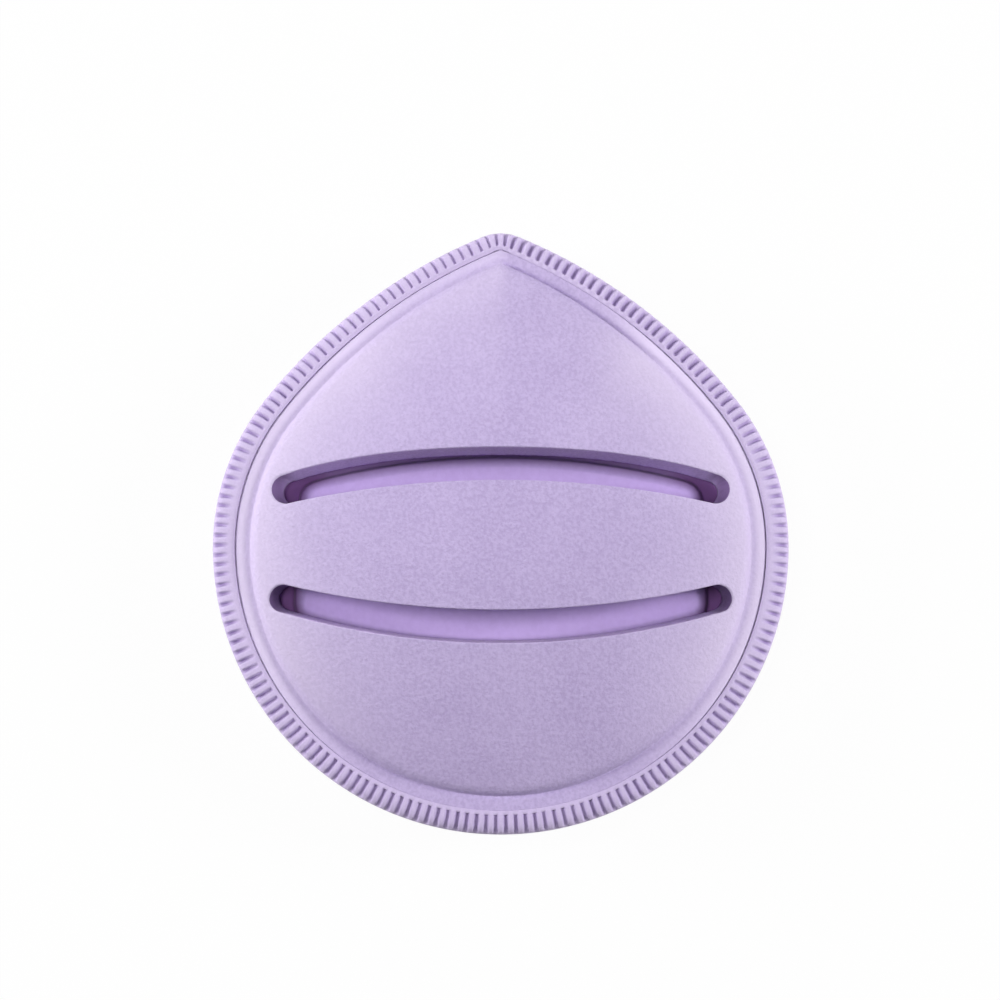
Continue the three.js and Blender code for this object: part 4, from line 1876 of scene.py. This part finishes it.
    def _rib_tree(self, sizes: Iterable[str]) -> bpy.types.NodeTree:
        """Builds the tree that presses the grooves in.

        Args:
            sizes: Names of its inputs for sizes.

        Returns:
            The tree.
        """
        tree = bpy.data.node_groups.new("press_ribs", "GeometryNodeTree")
        inputs = [("Geometry", "Geometry"), *((name, "Float") for name in sizes)]
        for name, kind in [*inputs, ("Material", "Material")]:
            tree.interface.new_socket(name, in_out="INPUT", socket_type=f"NodeSocket{kind}")
        tree.interface.new_socket("Geometry", in_out="OUTPUT", socket_type="NodeSocketGeometry")
        graph = Graph(tree)
        group = tree.nodes.new("NodeGroupInput")
        given = {socket.name: Link(graph, socket) for socket in group.outputs if socket.name}
        across = (graph.attribute("phase") - 0.5) * given["Pitch"]
        bottom = graph.attribute("bottom")
        end = given["Groove End"] + bottom * given["Bottom End"]
        past_end = graph.attribute("inset") * MM - end
        beyond = graph.add("ShaderNodeMath", {"operation": "MAXIMUM"}, {0: past_end, 1: 0.0})
        distance = (across * across + beyond * beyond) ** 0.5
        breadth = given["Groove Width"] * graph.attribute("breadth")
        floor = breadth * self.groove_floor
        wall = graph.ramp(distance, floor, breadth * 0.5, first=1.0, last=0.0)
        groove = wall * graph.attribute("strength")
        # Painted shade: darker in the grooves, and over the whole rim at the bottom.
        tint = groove * (1.0 - bottom * self.bottom_shade) + bottom * self.bottom_shade
        move = graph.add(
            "ShaderNodeVectorMath",
            {"operation": "SCALE"},
            {
                0: graph.attribute("way", "FLOAT_VECTOR"),
                "Scale": groove * given["Groove Depth"],
            },
        )
        stored = graph.add(
            "GeometryNodeStoreNamedAttribute",
            {"data_type": "FLOAT", "domain": "POINT"},
            {"Geometry": given["Geometry"], "Name": "groove", "Value": tint},
        )
        moved = graph.add("GeometryNodeSetPosition", {}, {"Geometry": stored, "Offset": move})
        whole = graph.add("GeometryNodeRealizeInstances", {}, {"Geometry": moved})
        dressed = graph.add(
            "GeometryNodeSetMaterial", {}, {"Geometry": whole, "Material": given["Material"]}
        )
        tree.links.new(dressed.socket, tree.nodes.new("NodeGroupOutput").inputs[0])
        return tree


# Studio


@dataclass(frozen=True)
class SoftBox:
    """A rectangular studio light aimed at the puff.

    Attributes:
        name: The light's name.
        azimuth, elevation: Where it stands, in degrees; azimuth 0 is the tip's side, 90 the right.
        distance: How far away it is, in metres.
        size: Its two sides, in metres.
        power: Its power in watts.
    """

    name: str
    azimuth: float
    elevation: float
    distance: float
    size: tuple[float, float]
    power: float

    def make(self, target: Vector) -> None:
        """Adds the light."""
        data = bpy.data.lights.new(self.name, "AREA")
        data.shape = "RECTANGLE"
        data.size, data.size_y = self.size
        data.energy = self.power
        light = bpy.data.objects.new(self.name, data)
        bpy.context.scene.collection.objects.link(light)
        azimuth, elevation = math.radians(self.azimuth), math.radians(self.elevation)
        way = Vector(
            (
                math.sin(azimuth) * math.cos(elevation),
                math.cos(azimuth) * math.cos(elevation),
                math.sin(elevation),
            )
        )
        light.location = target + way * self.distance
        light.rotation_euler = (-way).to_track_quat("-Z", "Y").to_euler()


@dataclass
class Studio:
    """Camera, lights and floor of the picture.

    Attributes:
        stack: Levels of the layers, for the place of the puff.
        elevation: Camera elevation in degrees; it looks along +Y and down.
        distance: Camera distance in metres.
        frame_width: Width in metres that the picture spans at the rim's height.
        aside, drop: How far the puff's middle lies right of and below the picture's, in metres.
        world: Strength of the even light.
        floor_half: Half the floor's side, in metres.
        paper: Grey of the floor, which keeps the shadow.
        glow_share: How much of the floor's own white the camera sees.
        boxes: The lights.
    """

    stack: Stack
    elevation: float = 84.5
    distance: float = 1.0
    frame_width: float = 0.13896
    aside: float = 0.0001
    drop: float = 0.00457
    world: float = 0.09
    floor_half: float = 3.0
    paper: float = 0.82
    glow_share: float = 0.96
    boxes: tuple[SoftBox, ...] = (
        SoftBox("left_box", -84, 22, 0.6, (0.16, 0.26), 2.5),
        SoftBox("right_box", 85, 26, 0.6, (0.16, 0.26), 2.8),
        SoftBox("tip_box", -20, 12, 0.6, (0.16, 0.16), 1.05),
        SoftBox("overhead_box", -90, 79, 0.6, (0.2, 0.2), 1.27),
    )

    def make(self) -> None:
        """Adds the camera, the lights and the floor."""
        middle = Vector((0.0, 0.0, self.stack.rim_middle * MM))
        self._camera(middle)
        for box in self.boxes:
            box.make(middle)
        self._world()
        self._floor()

    def _camera(self, middle: Vector) -> None:
        """Adds the camera at the photograph's angle."""
        tilt = math.radians(self.elevation)
        back = Vector((0.0, -math.cos(tilt), math.sin(tilt)))
        up = Vector((0.0, math.sin(tilt), math.cos(tilt)))
        data = bpy.data.cameras.new("camera")
        data.lens = data.sensor_width * self.distance / self.frame_width
        data.dof.use_dof = False
        camera = bpy.data.objects.new("camera", data)
        bpy.context.scene.collection.objects.link(camera)
        camera.location = middle + up * self.drop + back * self.distance
        camera.location.x -= self.aside
        camera.rotation_euler = (-back).to_track_quat("-Z", "Y").to_euler()
        bpy.context.scene.camera = camera

    def _world(self) -> None:
        """An even light that the camera sees as white."""
        world = bpy.data.worlds.new("studio")
        bpy.context.scene.world = world
        graph = Graph.cleared(world)
        seen = graph.add("ShaderNodeLightPath", output="Is Camera Ray")
        light = graph.add("ShaderNodeBackground", {}, {"Strength": self.world})
        white = graph.add(
            "ShaderNodeBackground", {}, {"Color": (1.0, 1.0, 1.0, 1.0), "Strength": 1.0}
        )
        both = graph.add("ShaderNodeMixShader", {}, {0: seen, 1: light, 2: white})
        graph.add("ShaderNodeOutputWorld", {}, {"Surface": both})

    def _floor(self) -> None:
        """A white floor that keeps a faint shadow."""
        size = self.floor_half / MM
        corners = [(-size, -size), (size, -size), (size, size), (-size, size)]
        floor = add_mesh("floor", np.array([(x, y, 0.0) for x, y in corners]), [(0, 1, 2, 3)])
        material = bpy.data.materials.new("floor_white")
        graph = Graph.cleared(material)
        seen = graph.add("ShaderNodeLightPath", output="Is Camera Ray")
        paper = graph.add("ShaderNodeBsdfDiffuse", {}, {"Color": (*[self.paper] * 3, 1.0)})
        glow = graph.add(
            "ShaderNodeEmission", {}, {"Color": (1.0, 1.0, 1.0, 1.0), "Strength": 1.0}
        )
        share = seen * self.glow_share
        both = graph.add("ShaderNodeMixShader", {}, {0: share, 1: paper, 2: glow})
        graph.add("ShaderNodeOutputMaterial", {}, {"Surface": both})
        floor.data.materials.append(material)


def main() -> None:
    """Dresses the puff on its frame and sets up the picture."""
    logging.basicConfig(level=logging.INFO, format="%(name)s %(message)s")
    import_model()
    stack = Stack.from_frame()
    outline = DropOutline(belly=stack.belly)
    layers = SoftLayers(stack, outline)
    pieces: list[tuple[Callable[[], bpy.types.Object], str, str]] = [
        (GripCover(stack, outline).make, "grip_cover", "grip_foam"),
        (RibbedRim(stack, outline).make, "ribbed_rim", "rim_binding"),
        (layers.make_liner, "pocket_liner", "liner_sheet"),
        (layers.make_core, "core_pad", "core_foam"),
        (layers.make_face, "face_cover", "velour_skin"),
    ]
    for make, node, slot in pieces:
        piece = make()
        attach(piece, "root")
        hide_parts(node)
        log.info("%s stands for %s", piece.name, node)
    scene = bpy.context.scene
    scene.view_settings.view_transform = "Standard"
    Studio(stack).make()


if __name__ == "__main__":
    main()
